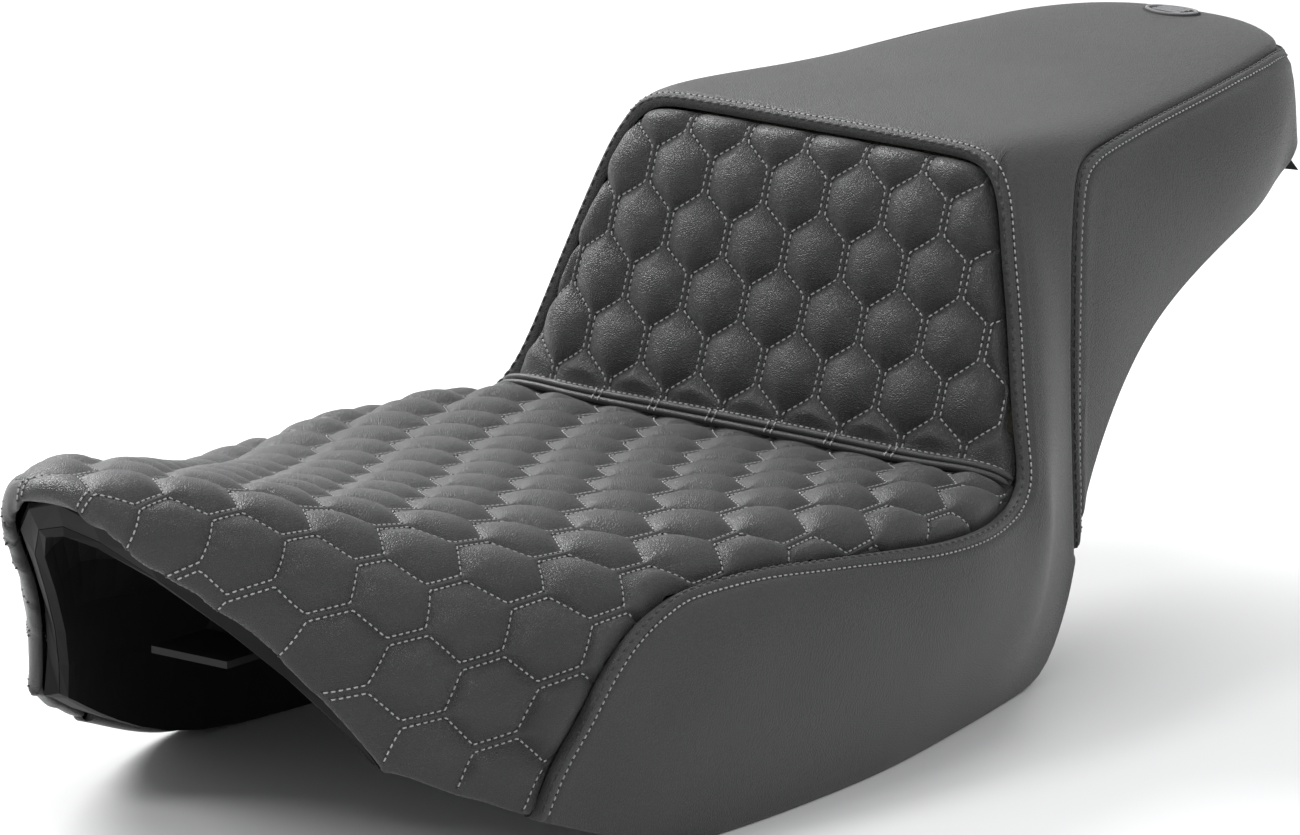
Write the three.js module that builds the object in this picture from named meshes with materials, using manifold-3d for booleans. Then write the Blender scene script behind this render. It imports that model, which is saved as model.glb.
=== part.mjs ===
// Two-up touring motorcycle saddle, millimetres, +Z up.
// The nose points to -Y, the rider's left is +X, and the saddle stands on its skirts at Z = 0.
// Layers from the outside in: sewn cover, quilt padding, moulded foam, base pan, steel and rubber.

import * as THREE from 'three';
import { mergeVertices } from 'three/addons/utils/BufferGeometryUtils.js';
import Module from 'manifold-3d';

const wasm = await Module();
wasm.setup();

// ---------------------------------------------------------------- driving dimensions

const GAP = 0.3; // air between neighbouring pieces
const SKIN = 2.2; // vinyl of the two quilted panels
const LAMINATE = 8.0; // smooth cover and the scrim foam bonded to its back
const FOAM_DEPTH = LAMINATE + GAP; // the moulded foam starts this far under the surface
const PAN_WALL = 4.0;
const SEAM_CUT = 0.4; // width of the parting between two sewn panels
const SEAM_PROUD = 5; // a parting wall stands this far above and below the layer it cuts
const SEAM_OVERRUN = 8; // and runs this far past the lower edge
const SEAM_STEPS = { quilt: 44, band: 36, welt: 12 };
const WELT_RADIUS = 2.6;
const WELT_SINK = 0.6; // the welt's axis lies this far under the surface
const WELT_HALF = 3.05; // columns from the centre line to the welt's end
const WELT_GROOVE_HALF = 3.1; // and to the end of the groove that it lies in
const WELT_OVERRUN = 3; // the welt's parting wall reaches this far into the side seams
const LISTING_HEIGHT = 17; // fabric tongue that pulls the welt down between the foams
const LISTING_THICKNESS = 1.5;
const LISTING_HALF = 96; // half its width
const EDGE_RIBS = 0.3; // width of the edging strip at nose and tail, in ribs
const EDGE_COLUMNS = 0.22; // and along the skirts, in columns
const EDGE_OVERCUT = 9; // the parting wall runs this far past the filling on both faces
const EDGE_STEPS_ALONG = 28;
const EDGE_STEPS_ACROSS = 12;
const ORIGIN_Y = 10.2; // puts the origin under the middle of the saddle
const SLIVER = 2000; // mm3, offcuts smaller than this aren't panels
const BACKREST_REACH = 90; // only the backrest panel is shorter than this from front to back

const STEPS_ALONG = 36; // facets of the cover from nose to tail
const STEPS_ACROSS = 12; // facets of the cover from skirt to skirt

// Cover surface, left half. Each row is one rib over the saddle, each point x, y, z.
// Columns: centre, inner, crest, shoulder, flank, low, lower edge.
const COVER_RIBS = [
  // front rim of the nose
  [[0,-382,168], [20,-380,164], [38,-366,149], [55,-338,124], [70,-314,101], [83,-298,77], [96,-284,56]],
  [[0,-377,177], [24,-372,174], [47,-352,160], [67,-324,134], [84,-300,107], [96,-283,77], [106,-266,46]],
  [[0,-348,178], [28,-340,176], [56,-321,162], [81,-296,138], [100,-276,107], [111,-259,71], [118,-240,34]],
  // thighs
  [[0,-296,166], [32,-290,164], [64,-276,153], [93,-254,132], [117,-236,102], [127,-219,63], [129,-205,21]],
  [[0,-230,149], [36,-228,148], [72,-222,142], [106,-204,127], [135,-192,100], [142,-181,55], [137,-162,6]],
  [[0,-160,136], [40,-160,135], [81,-156,130], [119,-148,120], [148,-140,97], [150,-132,50], [140,-120,0]],
  // driver bucket
  [[0,-90,127], [42,-90,127], [86,-88,125], [127,-84,119], [154,-80,98], [153,-74,48], [139,-66,0]],
  [[0,-25,120], [44,-25,120], [91,-24,120], [134,-22,116], [157,-19,94], [152,-14,46], [134,-8,0]],
  [[0,25,115], [44,25,115], [94,26,116], [137,28,112], [156,32,89], [147,36,44], [125,38,0]],
  [[0,52,112], [46,53,112], [96,56,113], [135,60,109], [149,68,86], [141,72,42], [117,75,0]],
  // fold between the seat and the backrest
  [[0,66,113], [46,67,113], [98,70,112], [134,76,112], [146,90,90], [134,96,44], [110,104,0]],
  [[0,74,128], [46,74,128], [96,76,128], [129,84,128], [137,102,108], [127,112,52], [106,122,1]],
  // backrest
  [[0,86,160], [44,86,160], [90,87,160], [121,94,160], [128,114,135], [121,126,66], [104,140,4]],
  [[0,99,200], [42,99,200], [84,100,200], [112,107,197], [119,128,160], [115,140,84], [104,152,20]],
  [[0,110,229], [38,110,229], [76,111,228], [103,117,222], [114,136,180], [111,150,104], [106,160,46]],
  [[0,126,237], [36,126,237], [71,127,236], [99,132,230], [111,149,192], [110,162,126], [105,168,74]],
  // passenger pad
  [[0,165,237], [36,165,237], [70,166,235], [98,170,230], [109,182,198], [108,187,150], [104,187,107]],
  [[0,220,235], [36,220,235], [69,220,233], [94,222,227], [105,226,203], [104,226,172], [100,224,142]],
  [[0,280,235], [35,280,235], [66,279,233], [89,279,227], [99,280,206], [99,280,182], [95,278,164]],
  [[0,335,237], [32,335,237], [61,331,235], [80,325,228], [91,320,210], [92,318,190], [90,312,174]],
  // tail
  [[0,380,237], [27,378,237], [52,369,234], [71,354,227], [83,342,212], [86,336,196], [84,332,181]],
  [[0,401,224], [25,399,224], [46,389,221], [64,373,217], [75,358,208], [80,350,198], [80,346,185]],
  [[0,402,196], [24,400,196], [44,391,195], [61,377,193], [72,365,191], [77,357,190], [79,352,188]],
];

// Foam side of the base pan, left half, one row for every second rib of the cover.
// Columns: centre, inner, shoulder, flank, lower edge.
const PAN_RIBS = [
  [[0,-370,157], [24,-362,147], [48,-325,112], [68,-296,80], [84,-277,54]],
  [[0,-338,154], [36,-320,147], [67,-286,118], [91,-256,78], [103,-234,34]],
  [[0,-232,118], [48,-226,114], [92,-204,98], [120,-182,62], [122,-158,5]],
  [[0,-90,78], [56,-89,80], [110,-84,82], [135,-76,50], [124,-66,0]],
  [[0,25,70], [58,26,73], [112,28,78], [133,34,48], [110,37,0]],
  [[0,66,76], [54,68,78], [104,74,80], [121,86,48], [95,98,0]],
  [[0,98,92], [46,100,92], [88,106,90], [105,118,60], [89,136,4]],
  [[0,132,122], [44,134,121], [80,138,116], [95,145,86], [91,156,45]],
  [[0,180,154], [42,181,152], [76,183,146], [92,186,127], [89,187,106]],
  [[0,280,187], [38,280,184], [66,279,178], [81,279,171], [80,277,163]],
  [[0,360,199], [30,354,196], [52,340,190], [65,330,184], [69,324,180]],
  [[0,387,195], [28,380,194], [47,364,191], [60,350,188], [65,343,185]],
];

// Seams, left half, in rib and column numbers of the cover.
const QUILT_SEAM = [
  [2.5, 6], [3.0, 5.33], [3.45, 4.82], [3.8, 4.43], [4.2, 4.06], [4.6, 3.78], [5.0, 3.6],
  [5.6, 3.57], [6.2, 3.66], [6.9, 3.72], [7.5, 3.73], [8.2, 3.64], [9.0, 3.44], [9.65, 3.25],
  [10.4, 3.12], [11.1, 3.05], [12.1, 2.96], [12.9, 2.82], [13.6, 2.76], [14.0, 2.62],
  [14.25, 2.35], [14.36, 1.9], [14.37, 1.0], [14.37, 0],
];
const BAND_SEAM = [
  [14.32, 6], [14.28, 5.2], [14.42, 4.74], [14.8, 4.34], [15.3, 3.85], [15.75, 3.42], [16.1, 3.2],
  [16.5, 3.05], [17.4, 2.78], [18.4, 2.62], [19.5, 2.56], [20.3, 2.35], [20.75, 1.7], [20.9, 0.9], [20.92, 0],
];
const WELT_SEAM_CENTRE = 10.0; // rib number of the backrest welt at the centre line
const WELT_SEAM_END = [9.65, 3.25];

// Steel and rubber under the pan: centre x, y and the Z of the flat boss face.
const BUMPER_SEATS = {
  front: [60, -130, 74],
  middle: [58, 5, 60],
  rear: [40, 235, 160],
};
const BUMPER = { boss: 14, head: 11, height: 9, stem: 3.6, stemLength: 6, round: 2.5, chamfer: 0.8 };
const FRONT_BRACKET = { y: -232, face: 98, width: 72, length: 38, drop: 9, tongue: 34, tongueWidth: 40 };
const REAR_BRACKET = { y: 322, face: 176, width: 60, length: 34, drop: 6, tongue: 34, tongueWidth: 36 };
const PLATE = 3.0;
const FENDER_HOLE = { radius: 4.2, inset: 13, reach: 20 }; // for the screw into the fender
const BOSS_REACH = 40; // bosses start this tall and are cut off at the pan
const PAN_ROOM = 60; // space over the pan that cuts them off
const SCREW = { spacing: 44, radius: 3.0, headRadius: 6.0, headHeight: 3.4, length: 10, chamfer: 0.6 };
const INSERT = { outer: 4.6, inner: 3.3, length: 9 };
const BADGE = { rib: 19.75, halfRibs: 0.24, halfColumns: 0.5, thickness: 1.0 };

// ---------------------------------------------------------------- lofted surfaces

const mirrored = (p) => [-p[0], p[1], p[2]];
const reflected = (p, q) => p.map((value, axis) => 2 * value - q[axis]);

// Moves each control point so that the smooth curve runs through the point itself.
function sharpened(row, before, after) {
  return row.map((p, i) => {
    const a = i > 0 ? row[i - 1] : before;
    const b = i < row.length - 1 ? row[i + 1] : after;
    return p.map((value, axis) => value - (a[axis] - 2 * value + b[axis]) / 6);
  });
}

const transposed = (table) => table[0].map((_, j) => table.map((row) => row[j]));

const basis = (f) => [
  (1 - f) ** 3 / 6,
  (3 * f ** 3 - 6 * f ** 2 + 4) / 6,
  (-3 * f ** 3 + 3 * f ** 2 + 3 * f + 1) / 6,
  f ** 3 / 6,
];

// A smooth surface through a table of ribs. u counts ribs, v counts columns, and a
// negative v is the right half.
function loft(ribs) {
  const lengthwise = transposed(ribs).map((line) => {
    const last = line.length - 1;
    return sharpened(line, reflected(line[0], line[1]), reflected(line[last], line[last - 1]));
  });
  const controls = transposed(lengthwise).map((row) => {
    const last = row.length - 1;
    return sharpened(row, mirrored(row[1]), reflected(row[last], row[last - 1]));
  });
  const widened = controls.map((row) => {
    const last = row.length - 1;
    return [mirrored(row[1]), ...row, reflected(row[last], row[last - 1])];
  });
  const lastRow = widened.length - 1;
  const rows = [
    widened[0].map((p, j) => reflected(p, widened[1][j])),
    ...widened,
    widened[lastRow].map((p, j) => reflected(p, widened[lastRow - 1][j])),
  ];
  const maxU = ribs.length - 1;
  const maxV = ribs[0].length - 1;

  function point(u, v) {
    const cu = THREE.MathUtils.clamp(u, 0, maxU - 1e-9);
    const cv = THREE.MathUtils.clamp(Math.abs(v), 0, maxV - 1e-9);
    const iu = Math.floor(cu);
    const iv = Math.floor(cv);
    const wu = basis(cu - iu);
    const wv = basis(cv - iv);
    const sum = new THREE.Vector3();
    for (let a = 0; a < 4; a++) {
      for (let b = 0; b < 4; b++) {
        sum.addScaledVector(new THREE.Vector3(...rows[iu + a][iv + b]), wu[a] * wv[b]);
      }
    }
    if (v < 0) sum.x = -sum.x;
    sum.z = Math.max(sum.z, 0); // the skirts are trimmed flat where they stand
    return sum;
  }

  // Outward normal. Beside the lower edge it turns level, so that the edge is cut square.
  function normal(u, v) {
    const h = 0.02;
    const cu = THREE.MathUtils.clamp(u, h, maxU - h);
    const cv = THREE.MathUtils.clamp(v, -maxV + h, maxV - h);
    const along = point(cu + h, cv).sub(point(cu - h, cv));
    const across = point(cu, cv + h).sub(point(cu, cv - h));
    const n = across.cross(along).normalize();
    const edge = THREE.MathUtils.smoothstep(Math.abs(v) / maxV, 0.8, 1);
    const level = edge * THREE.MathUtils.smoothstep(u / maxU, 0.08, 0.2);
    n.z *= 1 - level * THREE.MathUtils.smoothstep(1 - u / maxU, 0.02, 0.1);
    return n.normalize();
  }

  function inside(u, v, depth) {
    return point(u, v).addScaledVector(normal(u, v), -depth);
  }

  return { point, normal, inside, maxU, maxV };
}

const cover = loft(COVER_RIBS);
const pan = loft(PAN_RIBS);
const panU = (u) => (u * pan.maxU) / cover.maxU;
const panV = (v) => (v * pan.maxV) / cover.maxV;
const panInside = (u, v, depth) => pan.inside(panU(u), panV(v), depth);

// ---------------------------------------------------------------- closed solids

function geometryFrom(points, triangles) {
  const geometry = new THREE.BufferGeometry();
  const position = new Float32Array(points.flatMap((p) => [p.x, p.y, p.z]));
  geometry.setAttribute('position', new THREE.BufferAttribute(position, 3));
  geometry.setIndex(triangles.flat());
  return geometry;
}

// A layer between two surfaces over the same patch of ribs and columns.
function layer(top, bottom, patch) {
  const { u0, u1, v0, v1, nu, nv } = patch;
  const points = [];
  for (const surface of [top, bottom]) {
    for (let i = 0; i <= nu; i++) {
      for (let j = 0; j <= nv; j++) {
        points.push(surface(u0 + ((u1 - u0) * i) / nu, v0 + ((v1 - v0) * j) / nv));
      }
    }
  }
  const below = (nu + 1) * (nv + 1);
  const at = (i, j) => i * (nv + 1) + j;
  const triangles = [];
  const quad = (a, b, c, d) => triangles.push([a, b, c], [a, c, d]);
  for (let i = 0; i < nu; i++) {
    for (let j = 0; j < nv; j++) {
      quad(at(i, j), at(i, j + 1), at(i + 1, j + 1), at(i + 1, j));
      quad(below + at(i, j), below + at(i + 1, j), below + at(i + 1, j + 1), below + at(i, j + 1));
    }
  }
  const wall = (a, b) => quad(a, b, below + b, below + a);
  for (let i = 0; i < nu; i++) {
    wall(at(i, 0), at(i + 1, 0));
    wall(at(i + 1, nv), at(i, nv));
  }
  for (let j = 0; j < nv; j++) {
    wall(at(0, j + 1), at(0, j));
    wall(at(nu, j), at(nu, j + 1));
  }
  return geometryFrom(points, triangles);
}

// A solid through a row of rings, capped at both ends unless the row closes on itself.
// Opposite sides are split along matching diagonals, so that a thin twisted wall keeps its width.
function sweep(rings, closed = false) {
  const size = rings[0].length;
  const points = rings.flat();
  const triangles = [];
  const spans = closed ? rings.length : rings.length - 1;
  for (let i = 0; i < spans; i++) {
    const a = i * size;
    const b = ((i + 1) % rings.length) * size;
    for (let j = 0; j < size; j++) {
      const k = (j + 1) % size;
      if (j < size / 2) triangles.push([a + j, a + k, b + k], [a + j, b + k, b + j]);
      else triangles.push([a + j, a + k, b + j], [a + k, b + k, b + j]);
    }
  }
  if (!closed) {
    const last = (rings.length - 1) * size;
    for (let j = 1; j < size - 1; j++) {
      triangles.push([0, j + 1, j], [last, last + j, last + j + 1]);
    }
  }
  return geometryFrom(points, triangles);
}

function solid(geometry) {
  const bare = geometry.clone();
  bare.deleteAttribute('normal');
  bare.deleteAttribute('uv');
  const merged = mergeVertices(bare, 1e-4);
  const vertProperties = new Float32Array(merged.attributes.position.array);
  const triVerts = new Uint32Array(merged.index.array);
  let result = new wasm.Manifold(new wasm.Mesh({ numProp: 3, vertProperties, triVerts }));
  if (result.volume() < 0) {
    for (let i = 0; i < triVerts.length; i += 3) {
      [triVerts[i], triVerts[i + 1]] = [triVerts[i + 1], triVerts[i]];
    }
    result = new wasm.Manifold(new wasm.Mesh({ numProp: 3, vertProperties, triVerts }));
  }
  return result;
}

function geometryOf(manifold) {
  const mesh = manifold.getMesh();
  const geometry = new THREE.BufferGeometry();
  const position = new Float32Array(mesh.numVert * 3);
  for (let i = 0; i < mesh.numVert; i++) {
    for (let axis = 0; axis < 3; axis++) {
      position[3 * i + axis] = mesh.vertProperties[i * mesh.numProp + axis];
    }
  }
  geometry.setAttribute('position', new THREE.BufferAttribute(position, 3));
  geometry.setIndex(Array.from(mesh.triVerts));
  return geometry;
}

// The same solid with its faces pointing out.
const facingOut = (geometry) => geometryOf(solid(geometry));

function box(x0, x1, y0, y1, z0, z1) {
  const geometry = new THREE.BoxGeometry(x1 - x0, y1 - y0, z1 - z0);
  return geometry.translate((x0 + x1) / 2, (y0 + y1) / 2, (z0 + z1) / 2);
}

function post(radius, x, y, z0, z1, sides = 12) {
  const geometry = new THREE.CylinderGeometry(radius, radius, z1 - z0, sides);
  return geometry.rotateX(Math.PI / 2).translate(x, y, (z0 + z1) / 2);
}

// A turned piece that stands on the Z axis. The profile is radius, height pairs.
function turned(profile, sides = 12) {
  const points = profile.map(([r, z]) => new THREE.Vector2(r, z));
  return new THREE.LatheGeometry(points, sides).rotateX(Math.PI / 2);
}

// ---------------------------------------------------------------- seams

// Points evenly spaced along a seam, from the left end to the right end.
function seamPath(halfSeam, count) {
  const left = halfSeam.map(([u, v]) => new THREE.Vector3(u, v, 0));
  const right = left.slice(0, -1).reverse().map((p) => new THREE.Vector3(p.x, -p.y, 0));
  const curve = new THREE.CatmullRomCurve3([...left, ...right], false, 'centripetal');
  return curve.getPoints(count).map((p) => [p.x, p.y]);
}

// A thin wall that stands in the cover along a path, to part two sewn panels.
function seamWall(path, width, depth, overrun) {
  const places = path.map(([u, v]) => ({ p: cover.point(u, v), n: cover.normal(u, v) }));
  const rings = places.map(({ p, n }, i) => {
    const last = places.length - 1;
    const next = places[Math.min(i + 1, last)].p;
    const previous = places[Math.max(i - 1, 0)].p;
    const along = next.clone().sub(previous).normalize();
    const side = along.clone().cross(n).normalize();
    const centre = p.clone();
    if (i === 0) centre.addScaledVector(along, -overrun);
    if (i === last) centre.addScaledVector(along, overrun);
    const corner = (s, d) => centre.clone().addScaledVector(side, s * width / 2).addScaledVector(n, d);
    return [corner(-1, SEAM_PROUD), corner(1, SEAM_PROUD), corner(1, -depth), corner(-1, -depth)];
  });
  return solid(sweep(rings));
}

// A round cord that lies along a path, sunk under the surface by its own depth.
function cordAlong(path, radius, sink, sides = 8) {
  const places = path.map(([u, v]) => cover.inside(u, v, sink));
  const normals = path.map(([u, v]) => cover.normal(u, v));
  const rings = places.map((p, i) => {
    const next = places[Math.min(i + 1, places.length - 1)];
    const previous = places[Math.max(i - 1, 0)];
    const along = next.clone().sub(previous).normalize();
    const side = along.clone().cross(normals[i]).normalize();
    const up = side.clone().cross(along);
    return Array.from({ length: sides }, (_, k) => {
      const angle = (2 * Math.PI * k) / sides;
      const point = p.clone().addScaledVector(side, radius * Math.cos(angle));
      return point.addScaledVector(up, radius * Math.sin(angle));
    });
  });
  return sweep(rings);
}

const weltU = (v) => {
  const share = (v / WELT_SEAM_END[1]) ** 2;
  return WELT_SEAM_CENTRE + (WELT_SEAM_END[0] - WELT_SEAM_CENTRE) * share;
};
const weltPath = (halfWidth, count) => Array.from({ length: count + 1 }, (_, i) => {
  const v = halfWidth * (1 - (2 * i) / count);
  return [weltU(v), v];
});

const SEAM_DEPTH = LAMINATE + SEAM_PROUD;
const quiltPath = seamPath(QUILT_SEAM, SEAM_STEPS.quilt);
const bandPath = seamPath(BAND_SEAM, SEAM_STEPS.band);
const foldPath = weltPath(WELT_SEAM_END[1], SEAM_STEPS.welt);
const groovePath = weltPath(WELT_GROOVE_HALF, SEAM_STEPS.welt);
const quiltWall = seamWall(quiltPath, SEAM_CUT, SEAM_DEPTH, SEAM_OVERRUN);
const bandWall = seamWall(bandPath, SEAM_CUT, SEAM_DEPTH, SEAM_OVERRUN);
const weltWall = seamWall(foldPath, SEAM_CUT, SEAM_DEPTH, WELT_OVERRUN);
const weltGroove = solid(cordAlong(groovePath, WELT_RADIUS + GAP, WELT_SINK));
const seamCuts = quiltWall.add(bandWall).add(weltWall).add(weltGroove);

// ---------------------------------------------------------------- sewn cover

const wholeCover = {
  u0: 0, u1: cover.maxU, v0: -cover.maxV, v1: cover.maxV, nu: STEPS_ALONG, nv: STEPS_ACROSS,
};

// One layer of the cover, parted along all its seams. Pieces are told apart by where
// their middle lies.
function panels(top, bottom) {
  const sheet = solid(layer(
    (u, v) => cover.inside(u, v, top),
    (u, v) => cover.inside(u, v, bottom),
    wholeCover,
  ));
  const pieces = sheet.subtract(seamCuts).decompose().filter((piece) => piece.volume() > SLIVER);
  const middles = pieces.map((piece) => {
    const { min, max } = piece.boundingBox();
    return { piece, y: (min[1] + max[1]) / 2, length: max[1] - min[1] };
  });
  middles.sort((a, b) => a.y - b.y);
  const backrest = middles.find((m) => m.length < BACKREST_REACH);
  const [driver, main, band] = middles.filter((m) => m !== backrest);
  return { driver: driver.piece, backrest: backrest.piece, main: main.piece, band: band.piece };
}

const skins = panels(0, SKIN);
const padding = panels(SKIN + GAP, LAMINATE);
const laminate = panels(0, LAMINATE);

// ---------------------------------------------------------------- foam and base pan

// Everything that fills the space between the cover and the pan.
const filling = solid(layer(
  (u, v) => cover.inside(u, v, FOAM_DEPTH),
  (u, v) => panInside(u, v, -GAP),
  wholeCover,
));

// Path of the parting between the foam and the edging strip, once round the saddle.
function edgePath() {
  const u0 = EDGE_RIBS;
  const u1 = cover.maxU - EDGE_RIBS;
  const v1 = cover.maxV - EDGE_COLUMNS;
  const line = (from, to, steps) => Array.from({ length: steps }, (_, i) => {
    const share = i / steps;
    return [from[0] + (to[0] - from[0]) * share, from[1] + (to[1] - from[1]) * share];
  });
  return [
    ...line([u0, v1], [u1, v1], EDGE_STEPS_ALONG),
    ...line([u1, v1], [u1, -v1], EDGE_STEPS_ACROSS),
    ...line([u1, -v1], [u0, -v1], EDGE_STEPS_ALONG),
    ...line([u0, -v1], [u0, v1], EDGE_STEPS_ACROSS),
  ];
}

// A thin wall through the filling along that path, from the cover down to the pan.
function edgeWall() {
  const stakes = edgePath().map(([u, v]) => {
    const top = cover.inside(u, v, FOAM_DEPTH);
    const bottom = panInside(u, v, -GAP);
    return { top, bottom, down: bottom.clone().sub(top).normalize() };
  });
  const rings = stakes.map(({ top, bottom, down }, i) => {
    const next = stakes[(i + 1) % stakes.length].top;
    const previous = stakes[(i + stakes.length - 1) % stakes.length].top;
    const side = next.clone().sub(previous).cross(down).normalize();
    const corner = (s, end, d) =>
      end.clone().addScaledVector(side, (s * SEAM_CUT) / 2).addScaledVector(down, d);
    return [
      corner(-1, top, -EDGE_OVERCUT), corner(1, top, -EDGE_OVERCUT),
      corner(1, bottom, EDGE_OVERCUT), corner(-1, bottom, EDGE_OVERCUT),
    ];
  });
  return solid(sweep(rings, true));
}

const fillingPieces = filling.subtract(edgeWall()).decompose();
fillingPieces.sort((a, b) => b.volume() - a.volume());
const [foamBlock, edgingStrip] = fillingPieces;

// The driver and passenger foams meet in a leaning plane below the welt.
const SPLIT_POINT = new THREE.Vector3(0, 68, 100);
const SPLIT_NORMAL = new THREE.Vector3(0, 1, -0.35).normalize();
const SPLIT_HALF = LISTING_THICKNESS / 2 + GAP;
const splitOffset = SPLIT_NORMAL.dot(SPLIT_POINT);
const backward = SPLIT_NORMAL.toArray();
const forward = backward.map((c) => -c);
const passengerFoam = foamBlock.trimByPlane(backward, splitOffset + SPLIT_HALF);
const driverFoam = foamBlock.trimByPlane(forward, SPLIT_HALF - splitOffset);

const panShell = solid(layer(
  (u, v) => panInside(u, v, 0),
  (u, v) => panInside(u, v, PAN_WALL),
  wholeCover,
));
const abovePan = solid(layer(
  (u, v) => panInside(u, v, -PAN_ROOM),
  (u, v) => panInside(u, v, 0),
  wholeCover,
));

const sides = [['left', 1], ['right', -1]];
const brackets = { front: FRONT_BRACKET, rear: REAR_BRACKET };
const screwPlaces = Object.entries(brackets).flatMap(([end, bracket]) =>
  sides.map(([side, s]) => ({ end, side, x: (s * SCREW.spacing) / 2, y: bracket.y, face: bracket.face })));
const bumperPlaces = Object.entries(BUMPER_SEATS).flatMap(([row, [x, y, face]]) =>
  sides.map(([side, s]) => ({ row, side, x: s * x, y, face })));

const bosses = [
  ...Object.values(brackets).map((b) =>
    box(-b.width / 2, b.width / 2, b.y - b.length / 2, b.y + b.length / 2, b.face, b.face + BOSS_REACH)),
  ...bumperPlaces.map((b) => post(BUMPER.boss, b.x, b.y, b.face, b.face + BOSS_REACH)),
].map(solid).map((boss) => boss.subtract(abovePan));

const holes = [
  ...screwPlaces.map((s) => post(INSERT.outer + GAP, s.x, s.y, s.face - 1, s.face + INSERT.length + GAP)),
  ...bumperPlaces.map((b) =>
    post(BUMPER.stem + GAP, b.x, b.y, b.face - 1, b.face + BUMPER.stemLength + GAP)),
].map(solid);

let basePan = panShell;
for (const boss of bosses) basePan = basePan.add(boss);
for (const hole of holes) basePan = basePan.subtract(hole);

// ---------------------------------------------------------------- welt, listing, badge

const weltRoute = weltPath(WELT_HALF, SEAM_STEPS.welt);
const backrestWelt = facingOut(cordAlong(weltRoute, WELT_RADIUS, WELT_SINK));

// Flat fabric tongue in the slit between the two foams.
function listingTongue() {
  const down = new THREE.Vector3(0, -SPLIT_NORMAL.z, SPLIT_NORMAL.y).multiplyScalar(-1);
  const half = SPLIT_NORMAL.clone().multiplyScalar(LISTING_THICKNESS / 2);
  const rings = [-1, 1].map((end) => {
    const top = SPLIT_POINT.clone();
    top.x = end * LISTING_HALF;
    const bottom = top.clone().addScaledVector(down, LISTING_HEIGHT);
    return [top.clone().add(half), top.clone().sub(half), bottom.clone().sub(half), bottom.add(half)];
  });
  return facingOut(sweep(rings));
}

// Small oval patch sewn on the tail of the passenger pad.
function badgePatch() {
  const sideCount = 20;
  const rim = (height) => Array.from({ length: sideCount }, (_, k) => {
    const angle = (2 * Math.PI * k) / sideCount;
    const u = BADGE.rib + BADGE.halfRibs * Math.cos(angle);
    return cover.inside(u, BADGE.halfColumns * Math.sin(angle), -height);
  });
  return facingOut(sweep([rim(GAP), rim(GAP + BADGE.thickness)]));
}

// ---------------------------------------------------------------- steel and rubber

// Joggled steel plate: a flange under its boss, then a tongue that steps down and out.
// way is -1 for a tongue towards the nose and +1 for one towards the tail.
function bracketPlate({ y, face, width, length, drop, tongue, tongueWidth }, way) {
  const top = face - GAP;
  const inner = y - (way * length) / 2;
  const bend = y + (way * length) / 2;
  const span = [Math.min(inner, bend), Math.max(inner, bend)];
  const tip = bend + way * (drop + tongue);
  const low = top - drop;
  const profile = [
    [bend - way * PLATE, top], [bend, top], [bend + way * drop, low], [tip, low],
    [tip, low - PLATE], [bend + way * drop - way, low - PLATE], [bend - way, top - PLATE],
    [bend - way * PLATE, top - PLATE],
  ];
  const outline = new THREE.Shape(profile.map(([py, pz]) => new THREE.Vector2(py, pz)));
  const strap = new THREE.ExtrudeGeometry(outline, { depth: tongueWidth, bevelEnabled: false });
  const turn = new THREE.Matrix4().makeBasis(
    new THREE.Vector3(0, 1, 0), new THREE.Vector3(0, 0, 1), new THREE.Vector3(1, 0, 0));
  strap.applyMatrix4(turn).translate(-tongueWidth / 2, 0, 0);
  let plate = solid(box(-width / 2, width / 2, span[0], span[1], top - PLATE, top)).add(solid(strap));
  for (const [, s] of sides) {
    plate = plate.subtract(solid(
      post(SCREW.radius + GAP, (s * SCREW.spacing) / 2, y, top - PLATE - 1, top + 1)));
  }
  return plate;
}

const rearTip = REAR_BRACKET.y + REAR_BRACKET.length / 2 + REAR_BRACKET.drop + REAR_BRACKET.tongue;
const fenderHoleY = rearTip - FENDER_HOLE.inset;
const fenderHole = solid(
  post(FENDER_HOLE.radius, 0, fenderHoleY, REAR_BRACKET.face - FENDER_HOLE.reach, REAR_BRACKET.face));
const frontBracket = bracketPlate(FRONT_BRACKET, -1);
const rearBracket = bracketPlate(REAR_BRACKET, 1).subtract(fenderHole);

// Button-head screw. Its head hangs under the plate and its shank stands in the insert.
function screwGeometry() {
  const { radius, headRadius, headHeight, length, chamfer } = SCREW;
  return turned([
    [0, -headHeight], [headRadius * 0.6, -headHeight], [headRadius * 0.92, -headHeight * 0.5],
    [headRadius, 0], [radius, 0], [radius, length - chamfer], [radius - chamfer, length],
    [0, length],
  ]);
}

function insertGeometry() {
  const { outer, inner, length } = INSERT;
  return turned([[inner, 0], [outer, 0], [outer, length], [inner, length], [inner, 0]]);
}

function bumperGeometry() {
  const { head, height, stem, stemLength, round, chamfer } = BUMPER;
  return turned([
    [0, -height], [head - round, -height], [head - chamfer, -height + chamfer], [head, -height + round],
    [head, 0], [stem, 0], [stem, stemLength - chamfer], [stem - chamfer, stemLength], [0, stemLength],
  ]);
}

// ---------------------------------------------------------------- assembly

const VINYL = { color: 0x2b2b2c, roughness: 0.55, metalness: 0 };
const FOAM = { color: 0xd8c48a, roughness: 0.95, metalness: 0 };
const SCRIM = { color: 0xb9b9b4, roughness: 0.95, metalness: 0 };
const PLASTIC = { color: 0x111112, roughness: 0.6, metalness: 0 };
const RUBBER = { color: 0x0c0c0c, roughness: 0.8, metalness: 0 };
const STEEL = { color: 0x6f7275, roughness: 0.4, metalness: 1 };
const BRASS = { color: 0xb08d3c, roughness: 0.35, metalness: 1 };
const THREAD = { color: 0x8e8e8e, roughness: 0.8, metalness: 0 };

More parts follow.
